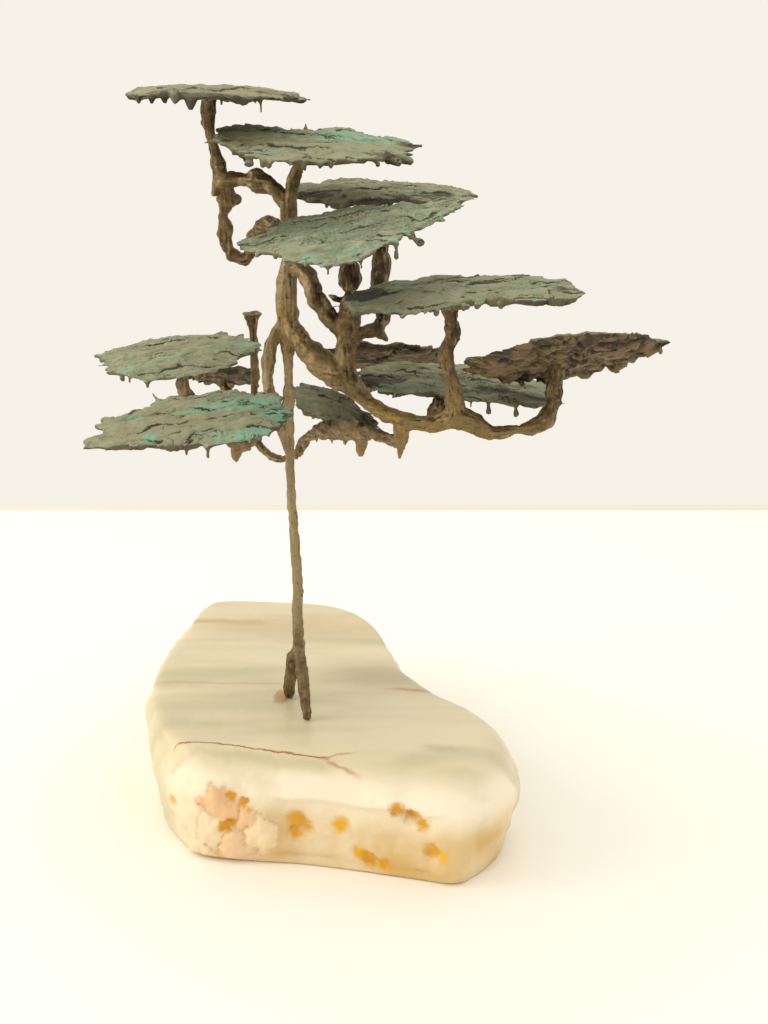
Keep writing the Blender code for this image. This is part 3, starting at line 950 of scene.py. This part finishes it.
        # The finish reads patina changes and painted shade from the relief and from the patches
        hollow = surface.hollowness(4)
        marks = {stain: np.zeros(len(flat)) for stain in Stain}
        for patch in self.patches:
            away = np.hypot(
                (across - patch.across) / patch.width, (back - patch.back) / patch.depth)
            wobble = 0.30 * (shelf - 0.5) + 0.20 * (scale - 0.5) + 0.30 * noise(
                flat / (4.5, 2.8), self.seed + 43, 2)
            marks[patch.stain] = np.maximum(
                marks[patch.stain], patch.strength * smoothstep(1.45, 0.35, away + wobble))
        rim_bloom = smoothstep(0.86, 1.0, far) * smoothstep(
            0.30, 0.75, noise(flat / 8, self.seed + 47))
        tone = (self.tone + 0.45 * noise(flat / 17, self.seed + 53, 2) + 0.30 * (shelf - 0.5)
                + 0.20 * (scale - 0.5))
        hanging = smoothstep(-0.5, -1.3, above - rim_height) * smoothstep(0.80, 0.90, far)
        for name, field in (("ledge", ledges), ("chip", chips), ("break", breaks)):
            surface.mark(name, 0.5 + 0.7 * field)
        surface.mark("open", opening * top * min(1.0, self.cracks))
        surface.mark("open_fine", fine_opening * top * min(1.0, self.cracks))
        # painted shade in the hollows and in the underside's pits and gullies
        surface.mark("crevice_painted_shade", 1.5 * np.maximum(hollow - 0.05, 0)
                     + under * (0.8 * gully + 0.95 * pit))
        surface.mark("flake", top * (0.45 * shelf + 0.35 * scale + 0.2 * opening)
                     + (1 - top) * (1.3 * billow + 0.5 * lobes) * (1 - pit))
        # painted shade on the downward faces and the hanging rims
        surface.mark("under", np.maximum(smoothstep(0.45, 0.0, facing), 0.85 * hanging))
        surface.mark("bloom", np.maximum(marks[Stain.BLOOM], 0.5 * rim_bloom))
        surface.mark("thin", np.maximum(marks[Stain.THIN], tone))
        surface.mark("bare", np.maximum(
            marks[Stain.BARE], self.bare_below * smoothstep(0.45, 0.0, facing)))
        # painted shade from the dark patches
        surface.mark("dark_tone_and_painted_shade", marks[Stain.PAINTED_SHADE])
        return surface.as_piece(finish, self.node)


BLOOM, THIN, BARE, PAINTED_SHADE = Stain
# The dark patches are painted shade on rims and parts of plates that lie in shadow, and they dim
# most of the centre front and right low plates; the other patches are patina and bare metal.
PLATES = (
    Plate("foliage_pad_top_left", 101, 0.75, 0.8, 0.05,
          patches=(Patch(PAINTED_SHADE, 0, -31, 42, 7, 1.1), Patch(PAINTED_SHADE, -22, -31, 16, 9, 1.3)),
          spurs=(Spur(309, 0.5, 4.6, 1.6, 0.5), Spur(224, 0.6, 1.5, 1.5, 0.8),
                 Spur(238, 0.2, 1.5, 1.9, 1.1), Spur(246, 0.2, 2.1, 2.2, 1),
                 Spur(254, 0.2, 1.3, 2.4, 1.6), Spur(263, 0.2, 1.9, 2.2, 1.3),
                 Spur(180, 3.2, 0.2, 0.9, 0.5), Spur(0, 3.4, 0.4, 0.9, 0.5), Spur(330, 1, 1.6),
                 Spur(283, 0, 1.8))),
    Plate("foliage_pad_top_middle", 127, 0.35, 1, 0.3,
          patches=(Patch(BLOOM, 20, 18, 24, 14, 0.8), Patch(BLOOM, -13, -20, 8, 6, 0.5),
                   Patch(THIN, -30, 0, 17, 20), Patch(BARE, 40, 8, 5, 3),
                   Patch(BARE, 33, -14, 9, 3.5)),
          spurs=(Spur(10, 5, -0.6, 1.3, 0.6), Spur(340, 2.6, 0.6, 1.8, 1.2),
                 Spur(325, 1, 1.6, 1.5, 1), Spur(235, 0.2, 1.9, 0.8, 1.4),
                 Spur(244, 0.2, 1.5, 1.4, 1.3), Spur(248, 0.2, 1.7, 1.2, 1.2),
                 Spur(272, 0.2, 1.4, 1.2, 1.2), Spur(284, 0.2, 1.4, 1.2, 1.2),
                 Spur(293, 0.2, 1.4, 1.1, 1.1), Spur(92, 0, -2.6, 1, 0.5),
                 Spur(180, 5, 0.9, 1, 0.55), Spur(345, 4, 0.8, 2.2, 1.5),
                 Spur(336, 4.2, 1, 2.4, 1.6)),
          bites=(Bite(196, 7, 3), Bite(211, 6, 3), Bite(0, 6, 4), Bite(225, 5, 2))),
    Plate("foliage_pad_upper_right", 149, 0.62, 1.25, 0.2,
          patches=(Patch(BLOOM, 19, -1, 6, 3.5, 0.6), Patch(THIN, -8, 4, 22, 10),
                   Patch(PAINTED_SHADE, -20, -6, 15, 7), Patch(PAINTED_SHADE, 2, -19, 14, 5),
                   Patch(PAINTED_SHADE, 16, -12, 14, 4), Patch(PAINTED_SHADE, 25, -4, 6, 3)),
          spurs=(Spur(4, 4.5, 0.6, 1.2, 0.6), Spur(182, 1.6, 0.2), Spur(215, 0.4, 1.4, 1.1, 0.7))),
    Plate("foliage_pad_centre_front", 173, -0.05, 0.8, 0.3,
          patches=(Patch(BLOOM, -37, -21, 7, 6, 0.7), Patch(BLOOM, -14, -31, 2.6, 2.2, 1.2),
                   Patch(BLOOM, 6, -36, 12, 5, 0.5), Patch(BLOOM, 16, -30, 11, 5, 0.5),
                   Patch(PAINTED_SHADE, 0, 0, 60, 40, 0.46), Patch(BLOOM, 0, 0, 60, 40, 0.36),
                   Patch(THIN, 4, 6, 18, 7)),
          spurs=(Spur(300, 0.6, 4.8, 1.2, 0.9), Spur(315, 7.5, 2.2, 0.8, 1.5),
                 Spur(277, 1.4, 2, 1.2, 0.6), Spur(262, 1.4, 2.2, 1.3, 0.6),
                 Spur(20, 4.4, 0.4, 1, 0.6), Spur(205, 1.6, 0.8), Spur(338, 2, 0.6, 1.3, 0.9),
                 Spur(90, 0.4, -1)),
          pulls=(Pull(28, 15, 36, 17, 8.5), Pull(46, 4, 15, 14, 6))),
    Plate("foliage_pad_right_upper", 197, 0.22, 0.95, 0.3,
          patches=(Patch(THIN, -34, 6, 9, 8), Patch(PAINTED_SHADE, -34, 2, 12, 12),
                   Patch(BARE, 42, -8, 5, 3), Patch(PAINTED_SHADE, 14, 20, 20, 5, 0.8)),
          spurs=(Spur(176, 6.5, 0.6, 0.9, 0.55), Spur(349, 3, 0.6, 1.1, 0.6),
                 Spur(255, 0.2, 1.3, 1.2, 1.2), Spur(268, 0.2, 1.3, 1.3, 1.2),
                 Spur(281, 0.2, 1.4, 1.3, 1.2), Spur(296, 0.2, 1.2, 1.2, 1.1),
                 Spur(312, 0.4, 1.4, 1.1, 0.7))),
    Plate("foliage_pad_right_tip", 223, 0.7, 1.1, 1,
          patches=(Patch(BARE, 0, -26, 40, 10), Patch(THIN, 0, 10, 30, 14)),
          spurs=(Spur(342, 5, 0, 2, 0.8), Spur(170, 2, 0.4), Spur(95, 0.6, -1.2, 1.5, 1)),
          bites=(Bite(20, 26, 7), Bite(52, 10, 2))),
    Plate("foliage_pad_right_low", 251, 0.3, 1.2, 0.3,
          patches=(Patch(PAINTED_SHADE, -30, -10, 12, 7), Patch(THIN, 10, 6, 18, 8),
                   Patch(PAINTED_SHADE, 22, -14, 22, 8, 0.7), Patch(PAINTED_SHADE, -6, 0, 45, 24, 0.4)),
          spurs=(Spur(302, 0.4, 3.6, 1, 1.3), Spur(318, 0.6, 3.8, 1, 1.4),
                 Spur(180, 6.5, 0.2, 0.9, 0.55), Spur(336, 2, 1.2, 1.1, 0.7), Spur(288, 0.2, 2)),
          bites=(Bite(206, 6, 3.5), Bite(222, 5, 3.5), Bite(238, 5, 3), Bite(190, 4, 2))),
    Plate("foliage_pad_rear_right", 277, 0.55, 1, 0.6,
          patches=(Patch(BARE, 0, -20, 30, 8),)),
    Plate("foliage_pad_left_rear", 307, 0.2, 0.8, 0.3,
          patches=(Patch(BLOOM, -19, -21, 4.5, 4, 1.1), Patch(BLOOM, 31, 4, 9, 8, 0.75),
                   Patch(BLOOM, -5, -14, 12, 4, 0.55), Patch(THIN, 0, 8, 20, 8)),
          spurs=(Spur(182, 3, 0.2, 1.1, 0.6), Spur(236, 0.4, 1.8), Spur(256, 0.2, 1.8, 1.2, 0.8))),
    Plate("foliage_pad_left_front", 331, 0.3, 1.2, 0.4,
          patches=(Patch(BLOOM, -25, -10, 3.6, 3.6, 1.2), Patch(BLOOM, 15, -15, 13, 6, 0.9),
                   Patch(BLOOM, 4, 17, 20, 11, 0.95), Patch(BLOOM, 23, 4, 8, 7, 1),
                   Patch(BLOOM, -35, 16, 4, 3, 1), Patch(THIN, -16, 6, 18, 16)),
          spurs=(Spur(128, 4.5, -1.8, 0.9, 0.5), Spur(158, 4.2, 0.2, 1.6, 1.1),
                 Spur(192, 1.8, 0.4, 1.5, 0.6), Spur(262, 0.6, 4.2, 1.3, 0.8),
                 Spur(238, 0.4, 1.8, 1.5, 1), Spur(352, 1, 0.6)),
          bites=(Bite(176, 9, 5), Bite(210, 19, 7), Bite(238, 26, 3), Bite(334, 8, 2.5))),
    Plate("foliage_pad_low_middle", 359, 0.1, 0.8, 0.5,
          patches=(Patch(BARE, 16, -3, 6, 6),),
          spurs=(Spur(350, 3.5, 1, 1.2, 0.6),)),
    Plate("foliage_pad_rear_left", 383, 0.45, 1, 0.6,
          patches=(Patch(BARE, 0, -14, 22, 6),)),
)


# The trunk and limbs


@dataclass(frozen=True)
class Glow:
    """A part of the limbs with its own tone, or with painted shade: its middle and reach, in
    millimetres.
    """

    middle: tuple[float, float, float]
    reach: float


@dataclass
class Limbs:
    """The trunk and every limb, fused into one piece of melted bronze."""

    node: str = "trunk_and_limbs"
    seed: int = 419
    spacing: float = 0.62
    melt_rounds: int = 9
    melt_loss: float = 0.16
    gnarl: float = 0.62
    burl_spacing: float = 8.5
    burl_height: float = 0.8
    dent_depth: float = 0.24
    groove_depth: float = 0.22
    trunk_at: tuple[float, float] = (-13.0, -35.0)
    trunk_top: float = 185.0
    flange_beads: int = 12
    golden: tuple[Glow, ...] = (
        Glow((48, -62, 178), 13), Glow((28, -56, 176), 16), Glow((6, -42, 198), 12),
        Glow((-10, -35, 212), 14), Glow((31, -52, 165), 9), Glow((-29, -88, 170), 8),
        Glow((15, -22, 158), 9), Glow((-22, -8, 244), 12), Glow((72, -62, 175), 12))
    # Painted shade on the stalks and the arch that lie in shade under the plates.
    painted_shade_glows: tuple[Glow, ...] = (
        Glow((11, -50, 234), 16), Glow((25, -29, 222), 19), Glow((4, -46, 224), 10),
        Glow((52, -62, 219), 12), Glow((92, -57, 191), 9), Glow((45, -18, 180), 13))
    tanned: tuple[Glow, ...] = (
        Glow((-12, -35, 120), 46), Glow((-12, -35, 180), 26), Glow((-12, -35, 225), 18))

    def build(self, node: bpy.types.Object, finish: bpy.types.Material) -> bpy.types.Object:
        """Meshes, carves and marks the limbs.

        Args:
            node: the limbs' CAD object.
            finish: the limbs' material.

        Returns:
            The new piece.
        """
        surface = Surface("brazed_limbs", node, self.spacing * MM, self.flanges())
        surface.smooth(self.melt_rounds, self.melt_loss * MM)
        normals = surface.normals()
        # The grain runs along each limb, where the normals around a point differ least
        outer = (normals[:, :, None] * normals[:, None, :]).reshape(-1, 9)
        pattern = surface.spread(outer, 36).reshape(-1, 3, 3)
        grain = np.linalg.eigh(pattern)[1][:, :, 0]
        spots = surface.points / MM
        coarse = surface.spread(
            2 * lots(np.arange(len(spots))[:, None], self.seed) - 1, 70, grain, 10)
        coarse = surface.spread(coarse, 1)
        coarse /= coarse.std()
        knots = noise(spots / 6.5, self.seed + 1, 2)
        dents = noise(spots / 2.4, self.seed + 2, 2)
        burl_lot, burl_off = cracked(spots / self.burl_spacing, self.seed + 3)
        burl = smoothstep(0.60, 0.10, burl_off) * smoothstep(0.35, 0.75, burl_lot)
        from_trunk = np.hypot(spots[:, 0] - self.trunk_at[0], spots[:, 1] - self.trunk_at[1])
        slender = smoothstep(16, 9, from_trunk) * smoothstep(
            self.trunk_top, self.trunk_top - 20, spots[:, 2])
        push = ((1 - 0.7 * slender) * (self.gnarl * knots + self.burl_height * (burl - 0.25))
                + self.dent_depth * dents + self.groove_depth * np.clip(coarse, -1.8, 1.8))
        surface.points = surface.points + normals * (push * MM)[:, None]
        hollow = surface.hollowness(4)
        surface.mark("streak", 0.5 + 0.15 * coarse)
        # painted shade in the hollows
        surface.mark("dark_groove_and_painted_shade", 3.6 * np.maximum(hollow - 0.03, 0))
        surface.mark("ridge", 3.2 * np.maximum(-hollow - 0.04, 0))
        for name, glows in (
                ("gold", self.golden), ("tan", self.tanned), ("dark", self.painted_shade_glows)):
            glow = np.zeros(len(spots))
            for spot in glows:
                away = np.linalg.norm(spots - spot.middle, axis=1) / spot.reach
                glow = np.maximum(glow, smoothstep(1.3, 0.4, away + 0.3 * knots))
            surface.mark(name, glow)
        return surface.as_piece(finish, self.node)

    def flanges(self) -> tuple[Bead, ...]:
        """Torn flanges and burrs that stand off the limbs, as chains of beads."""
        runs = (
            ((10, -44, 222), (3.5, -45.5, 224.5), 1.8, 0.7),
            ((-15, -36.5, 181), (-17.5, -37.5, 177.5), 1.5, 0.8),
            ((52, -62, 183.5), (49, -63.5, 187), 1.6, 0.9),
            ((-39.5, -22, 264), (-43, -22.5, 261.5), 1.8, 1),
            ((-13.5, -35, 72), (-15.8, -35.5, 66), 1.6, 1),
            ((50.8, -63, 216), (51.2, -62.5, 212.5), 3, 3.3),
            ((11.3, -50.5, 236), (11.5, -50, 231.5), 4.2, 4.9),
            ((11, -50, 222), (10.8, -48, 212), 3.4, 4.6),
            ((21.5, -30, 208.5), (25.5, -28.5, 204), 2.6, 1),
            ((91.5, -55.5, 184), (95.5, -55.5, 183.6), 0.9, 0.6),
            ((-40.5, -18.5, 259.3), (-34.5, -18.5, 259.4), 2.1, 2.3),
            ((-25.5, -29, 269.3), (-23.5, -29.5, 267.5), 3, 3),
            ((-25, -30, 265), (-22.5, -30, 264.5), 2.6, 2.4),
            ((-36.5, -24.3, 267.8), (-26, -28, 267.2), 2.6, 2.8),
            ((-40.2, -15.5, 256), (-38.6, -8, 238), 2, 2.2),
            ((-44.8, -21.3, 289), (-43, -21.3, 280), 2.6, 2.1),
            ((-43, -21.3, 280), (-41, -21.8, 270), 2.1, 2.3),
            ((-12.7, -35.3, 259), (-12.4, -35.3, 249), 3, 3),
            ((-14.8, -31.5, 68), (-16.6, -24.5, 49), 2.3, 2.5),
            ((-29.5, -12, 243), (-23, -14, 249.5), 2.2, 2.8),
            ((-23, -14, 249.5), (-16.5, -20, 245.5), 2.8, 3.2),
            ((-26, -13, 243.5), (-18, -17, 244.5), 2.6, 2.8),
            ((14.5, -21, 166), (7, -11, 164.6), 2.6, 2.4),
            ((7, -11, 164.6), (-1.5, -1.5, 162.4), 2.4, 2.2),
            ((3, -8, 159), (2.5, -8, 155.4), 1.4, 0.6),
            ((9, -16, 160.5), (8.5, -16, 156.8), 1.5, 0.6),
            ((-4, 2, 157), (-4.5, 2, 153.4), 1.3, 0.6),
        )
        made = []
        for start, end, root, tip in runs:
            for share in np.linspace(0, 1, self.flange_beads):
                middle = np.array(start) * (1 - share) + np.array(end) * share
                made.append(Bead(middle * MM, (root * (1 - share) + tip * share) * MM))
        return tuple(made)


# The slab


@dataclass(frozen=True)
class Lump:
    """A lump of broken crystal in the slab's front, in millimetres: its middle, its reach along
    each axis and how far it stands out, then how pink and how white it is."""

    middle: tuple[float, float, float]
    reach: tuple[float, float, float]
    rise: float
    pink: float
    white: float


@dataclass
class Slab:
    """The onyx slab: a ground top, rounded over at the front, and a broken, pitted side."""

    node: str = "stone_base"
    seed: int = 503
    spacing: float = 1.1
    round_rounds: int = 14
    round_loss: float = 0.2
    ledge_height: float = 29.0
    ledge_depth: float = 2.3
    undercut_depth: float = 6.0
    swell_height: float = 1.3
    joint_depth: float = 0.7
    lumps: tuple[Lump, ...] = (
        Lump((-42, -86, 25), (8.5, 12, 5), 2, 0.9, 0),
        Lump((-32, -87.5, 22), (4.8, 12, 5), 1.6, 0.7, 0.1),
        Lump((-26, -89, 13), (6.6, 12, 6.8), 2.4, 0, 1),
        Lump((-36.5, -88, 8.5), (6.8, 12, 6.8), 1.6, 0.6, 0.1),
        Lump((-48, -85.5, 14.5), (7.6, 12, 8.6), 1.6, 0.15, 0.45),
        Lump((-53, -83.5, 5.5), (6.5, 12, 4.5), 1, 0.25, 0.25),
        Lump((-59, -80, 17), (5.5, 12, 7), 0.9, 0.1, 0.3),
    )
    seams: tuple[Seam, ...] = (
        # painted shade: a grey band just in front of the red vein
        Seam((-70, -71.5), (4, -83), 3.6, "#cbbf9c", 0.65, 33),
        Seam((-62, -67.2), (2, -79.5), 0.85, "#a04f38", 0.9, 41),
        Seam((1, -80), (14, -88.5), 1.5, "#bf7a55", 0.65, 33),
        Seam((0, -79.5), (12, -78), 0.8, "#c4825f", 0.6, 37),
        Seam((-80, 71), (-34, 68), 6, "#ab9463", 0.75),
        Seam((-70, 66), (30, 60), 26, "#cbb487", 0.5),
        # a greenish band, darkened as painted shade right of the trunk's foot
        Seam((3, 1), (70, -6), 30, "#aaa078", 0.66),
        Seam((28, -14.5), (60, -16), 2.6, "#b98752", 0.75),
        Seam((42, -75), (58, -76), 6, "#b0a47c", 0.6),
        Seam((-85, -6), (-18, -9), 2, "#b9a27b", 0.45),
        Seam((-80, 34), (-5, 30), 9, "#d5cfae", 0.5),
        Seam((-90, -40), (60, -46), 12, "#e0d4b3", 0.5),
        Seam((30, -84), (80, -76), 8, "#c6bf9c", 0.6),
    )
    spots: tuple[Spot, ...] = (
        Spot((-10.5, -91, 19.5), 4.8, "#dc9e00", 1.3),
        Spot((-6.5, -91.5, 17), 3.6, "#dc9e00", 1.1),
        Spot((-11, -90.5, 13.5), 3.8, "#dc9e00", 1),
        Spot((7.5, -94.5, 19.5), 4.2, "#e2ad08", 0.8),
        Spot((30, -99, 28.5), 4, "#d89a00", 1.2),
        Spot((35.5, -100.8, 27), 4, "#d89a00", 1.2),
        Spot((40, -102.5, 24), 3.2, "#dfa800", 0.9),
        Spot((35.2, -100.5, 28.5), 1.7, "#a8640e", 0.3),
        Spot((43.5, -105, 13.5), 3.8, "#dca000", 1.1),
        Spot((47.5, -106, 12.5), 2.6, "#e8b426", 0.5),
        Spot((15, -97, 8.5), 3.6, "#e4b01e", 0.7),
        Spot((18.5, -97.5, 6), 4, "#d69600", 1.1),
        Spot((25, -99, 5), 3.2, "#dca206", 0.8),
        Spot((-36.5, -86.5, 29.5), 2.7, "#d69400", 0.9),
        Spot((-31.5, -87, 27.5), 2.5, "#d69400", 0.9),
        Spot((-29.5, -87.5, 24), 1.8, "#e8ae30", 0.6),
        Spot((-39.5, -87, 16.5), 2.9, "#d89800", 1),
        Spot((-36.5, -87, 19), 2.3, "#d89800", 0.9),
        Spot((-62.5, -76.5, 21.5), 3, "#e8bd62", 0.6),
        Spot((-60, -79.5, 11), 2.6, "#e8bd62", 0.6),
        Spot((-20.5, -23.2, 45), 3.6, "#b3924f", 0),
    )

    def build(self, node: bpy.types.Object, finish: BandedOnyx) -> bpy.types.Object:
        """Meshes, carves and marks the slab.

        Args:
            node: the slab's CAD object.
            finish: the stone it is made of.

        Returns:
            The new piece.
        """
        surface = Surface("onyx_slab", node, self.spacing * MM)
        surface.smooth(self.round_rounds, self.round_loss * MM)
        normals = surface.normals()
        spots = surface.points / MM
        side = smoothstep(0.93, 0.45, np.abs(normals[:, 2]))
        above = smoothstep(0.5, 3.0, spots[:, 2])
        # The sides are broken in swells, and the front's lumps of crystal meet in sunken joints
        swells = self.swell_height * noise(spots / 21, self.seed, 2) + 0.5 * noise(
            spots / 6.5, self.seed + 2, 2)
        push = side * swells * above + 0.12 * noise(spots / 24, self.seed + 4)
        wobble = 0.25 * noise(spots / 5, self.seed + 6, 2)
        strayed = spots + np.stack([
            3.2 * noise(spots / 5.5, self.seed + 14 + k, 2) for k in range(3)], 1)
        away = np.stack([
            np.linalg.norm((strayed - lump.middle) / lump.reach, axis=1) for lump in self.lumps], 1)
        owner = away.argmin(1)
        closest, runner_up = np.sort(away, axis=1)[:, :2].T
        inside = smoothstep(1.30, 1.10, closest + wobble) * side
        joint = smoothstep(0.28, 0.04, runner_up - closest) * inside
        rise, pink, white = (np.array(values)[owner] for values in zip(*[
            (lump.rise, lump.pink, lump.white) for lump in self.lumps]))
        jagged = (0.35 + 0.9 * white) * noise(spots / 3.6, self.seed + 8, 2)
        push = push + inside * above * (rise * (1.0 - closest**2) + jagged)
        push = push - self.joint_depth * joint * above
        # The slab draws in towards its foot at both front corners, and its front has a ledge
        cut_left = smoothstep(38, 6, spots[:, 2]) * smoothstep(-38, -66, spots[:, 0]) * (
            smoothstep(25, -25, spots[:, 1]))
        cut_right = smoothstep(32, 6, spots[:, 2]) * smoothstep(42, 68, spots[:, 0]) * (
            smoothstep(-30, -70, spots[:, 1]))
        front = smoothstep(-62, -88, spots[:, 1])
        crest = self.ledge_height + 1.2 * noise(spots[:, :1] / 13, self.seed + 10, 2)
        stepped = front * smoothstep(-24, -15, spots[:, 0]) * smoothstep(52, 40, spots[:, 0])
        below = smoothstep(0.8, -0.8, spots[:, 2] - crest)
        push = push - self.ledge_depth * stepped * above * below
        # The stained spots are pits with ragged edges
        fray = noise(spots / 3.0, self.seed + 12, 2)
        for spot in self.spots:
            near = np.linalg.norm(spots - spot.middle, axis=1) / spot.reach
            push = push - spot.depth * smoothstep(1.15, 0.7, near + 0.3 * fray) * above
        surface.points = surface.points + normals * (push * MM)[:, None]
        surface.points[:, 0] += self.undercut_depth * (cut_left - cut_right) * MM
        surface.points[:, 2] = np.clip(surface.points[:, 2], 0.0, None)
        surface.mark("broken", inside)
        # The front and low marks carry painted highlight, shade and glow on the slab's front.
        surface.mark("front", smoothstep(-58, -84, spots[:, 1]) * smoothstep(43, 35, spots[:, 2]))
        surface.mark("low", front * smoothstep(32, 16, spots[:, 2]) * (1 - 0.7 * inside))
        surface.mark("pink", pink * inside)
        surface.mark("white", np.maximum(white, 0.25) * inside * (1 - pink))
        surface.mark("joint", 0.8 * joint * smoothstep(-0.1, 0.5, pink + 0.5 * fray))
        return surface.as_piece(finish.build(self.seams, self.spots), self.node)


# The stage, the lights and the camera


@dataclass(frozen=True)
class Lamp:
    """A square lamp, in millimetres: its name, where it hangs, what it aims at and its side, then
    its watts and its tint."""

    name: str
    place: tuple[float, float, float]
    aim: tuple[float, float, float]
    side: float
    watts: float
    tint: str


@dataclass(frozen=True)
class Studio:
    """A pale table top in soft light, and the camera where the photograph was taken from."""

    table_colour: str = "#fbf8f0"
    wall_colour: str = "#f9f4ea"
    painted_shadow_line_colour: str = "#e4dcd0"
    table_back: float = 413.0
    table_reach: float = 3000.0
    painted_shadow_line_width: float = 14.0
    painted_shadow_line_drop: float = 0.1
    table_roughness: float = 0.8
    wall_light: float = 0.98
    lamps: tuple[Lamp, ...] = (
        Lamp("window above", (0, 60, 950), (0, -20, 120), 1300, 3.8, "#fffaf0"),
        Lamp("lamp at the left", (-850, -120, 480), (0, -20, 150), 500, 3.0, "#fff4e2"))
    camera_place: tuple[float, float, float] = (24.758, -644.56, 316.079)
    camera_tilt: float = 73.3
    focal_pixels: float = 1538.0
    long_side_pixels: float = 1024.0
    sensor: float = 36.0

    def lay_table(self) -> None:
        """The table top, and a strip of painted shadow at its far edge, as one flat piece each."""
        for name, near, far, drop, colour in (
                ("table_top", -self.table_reach, self.table_back, 0.0, self.table_colour),
                # painted shadow along the table's far edge, where it meets the pale surround
                ("table_painted_shadow_line", self.table_back, self.table_back + self.painted_shadow_line_width,
                 self.painted_shadow_line_drop, self.painted_shadow_line_colour)):
            form = bmesh.new()
            corners = ((-self.table_reach, near), (self.table_reach, near),
                       (self.table_reach, far), (-self.table_reach, far))
            form.faces.new([form.verts.new((x * MM, y * MM, -drop * MM)) for x, y in corners])
            mesh = bpy.data.meshes.new(name)
            form.to_mesh(mesh)
            form.free()
            paint = bpy.data.materials.new(name.replace("_", " "))
            paint.use_nodes = True
            shader = paint.node_tree.nodes["Principled BSDF"]
            shader.inputs["Base Color"].default_value = linear(colour)
            shader.inputs["Roughness"].default_value = self.table_roughness
            mesh.materials.append(paint)
            plane = bpy.data.objects.new(name, mesh)
            bpy.context.scene.collection.objects.link(plane)

    def light(self) -> None:
        """An even pale surround, a broad lamp above and behind, and a weaker one to the left."""
        scene = bpy.context.scene
        scene.view_settings.view_transform = "Standard"
        world = bpy.data.worlds.new("pale room")
        scene.world = world
        world.use_nodes = True
        surround = world.node_tree.nodes["Background"]
        surround.inputs["Color"].default_value = linear(self.wall_colour)
        surround.inputs["Strength"].default_value = self.wall_light
        for lamp in self.lamps:
            glow = bpy.data.lights.new(lamp.name, "AREA")
            glow.size = lamp.side * MM
            glow.energy = lamp.watts
            glow.color = linear(lamp.tint)[:3]
            holder = bpy.data.objects.new(lamp.name, glow)
            holder.location = Vector(lamp.place) * MM
            beam = Vector(lamp.aim) - Vector(lamp.place)
            holder.rotation_euler = beam.to_track_quat("-Z", "Y").to_euler()
            scene.collection.objects.link(holder)

    def place_camera(self) -> None:
        """The camera, at the photograph's height, tilt and focal length."""
        lens = bpy.data.cameras.new("camera")
        lens.sensor_width = self.sensor
        lens.lens = self.sensor * self.focal_pixels / self.long_side_pixels
        camera = bpy.data.objects.new("camera", lens)
        camera.location = Vector(self.camera_place) * MM
        camera.rotation_euler = (math.radians(self.camera_tilt), 0, 0)
        bpy.context.scene.collection.objects.link(camera)
        bpy.context.scene.camera = camera


def clear_scene() -> None:
    """Removes whatever the scene holds."""
    for thing in list(bpy.data.objects):
        bpy.data.objects.remove(thing)


def main() -> None:
    """Builds every piece in order."""
    logging.basicConfig(level=logging.INFO, format="%(name)s: %(message)s")
    clear_scene()
    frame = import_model()
    nodes = frame["nodes"]
    studio = Studio()
    studio.place_camera()
    studio.lay_table()
    studio.light()
    Slab().build(nodes["stone_base"], BandedOnyx())
    Limbs().build(nodes["trunk_and_limbs"], BrazedBronze().build())
    crust = Verdigris().build()
    for plate in PLATES:
        plate.build(nodes[plate.node], crust)


if __name__ == "__main__":
    main()
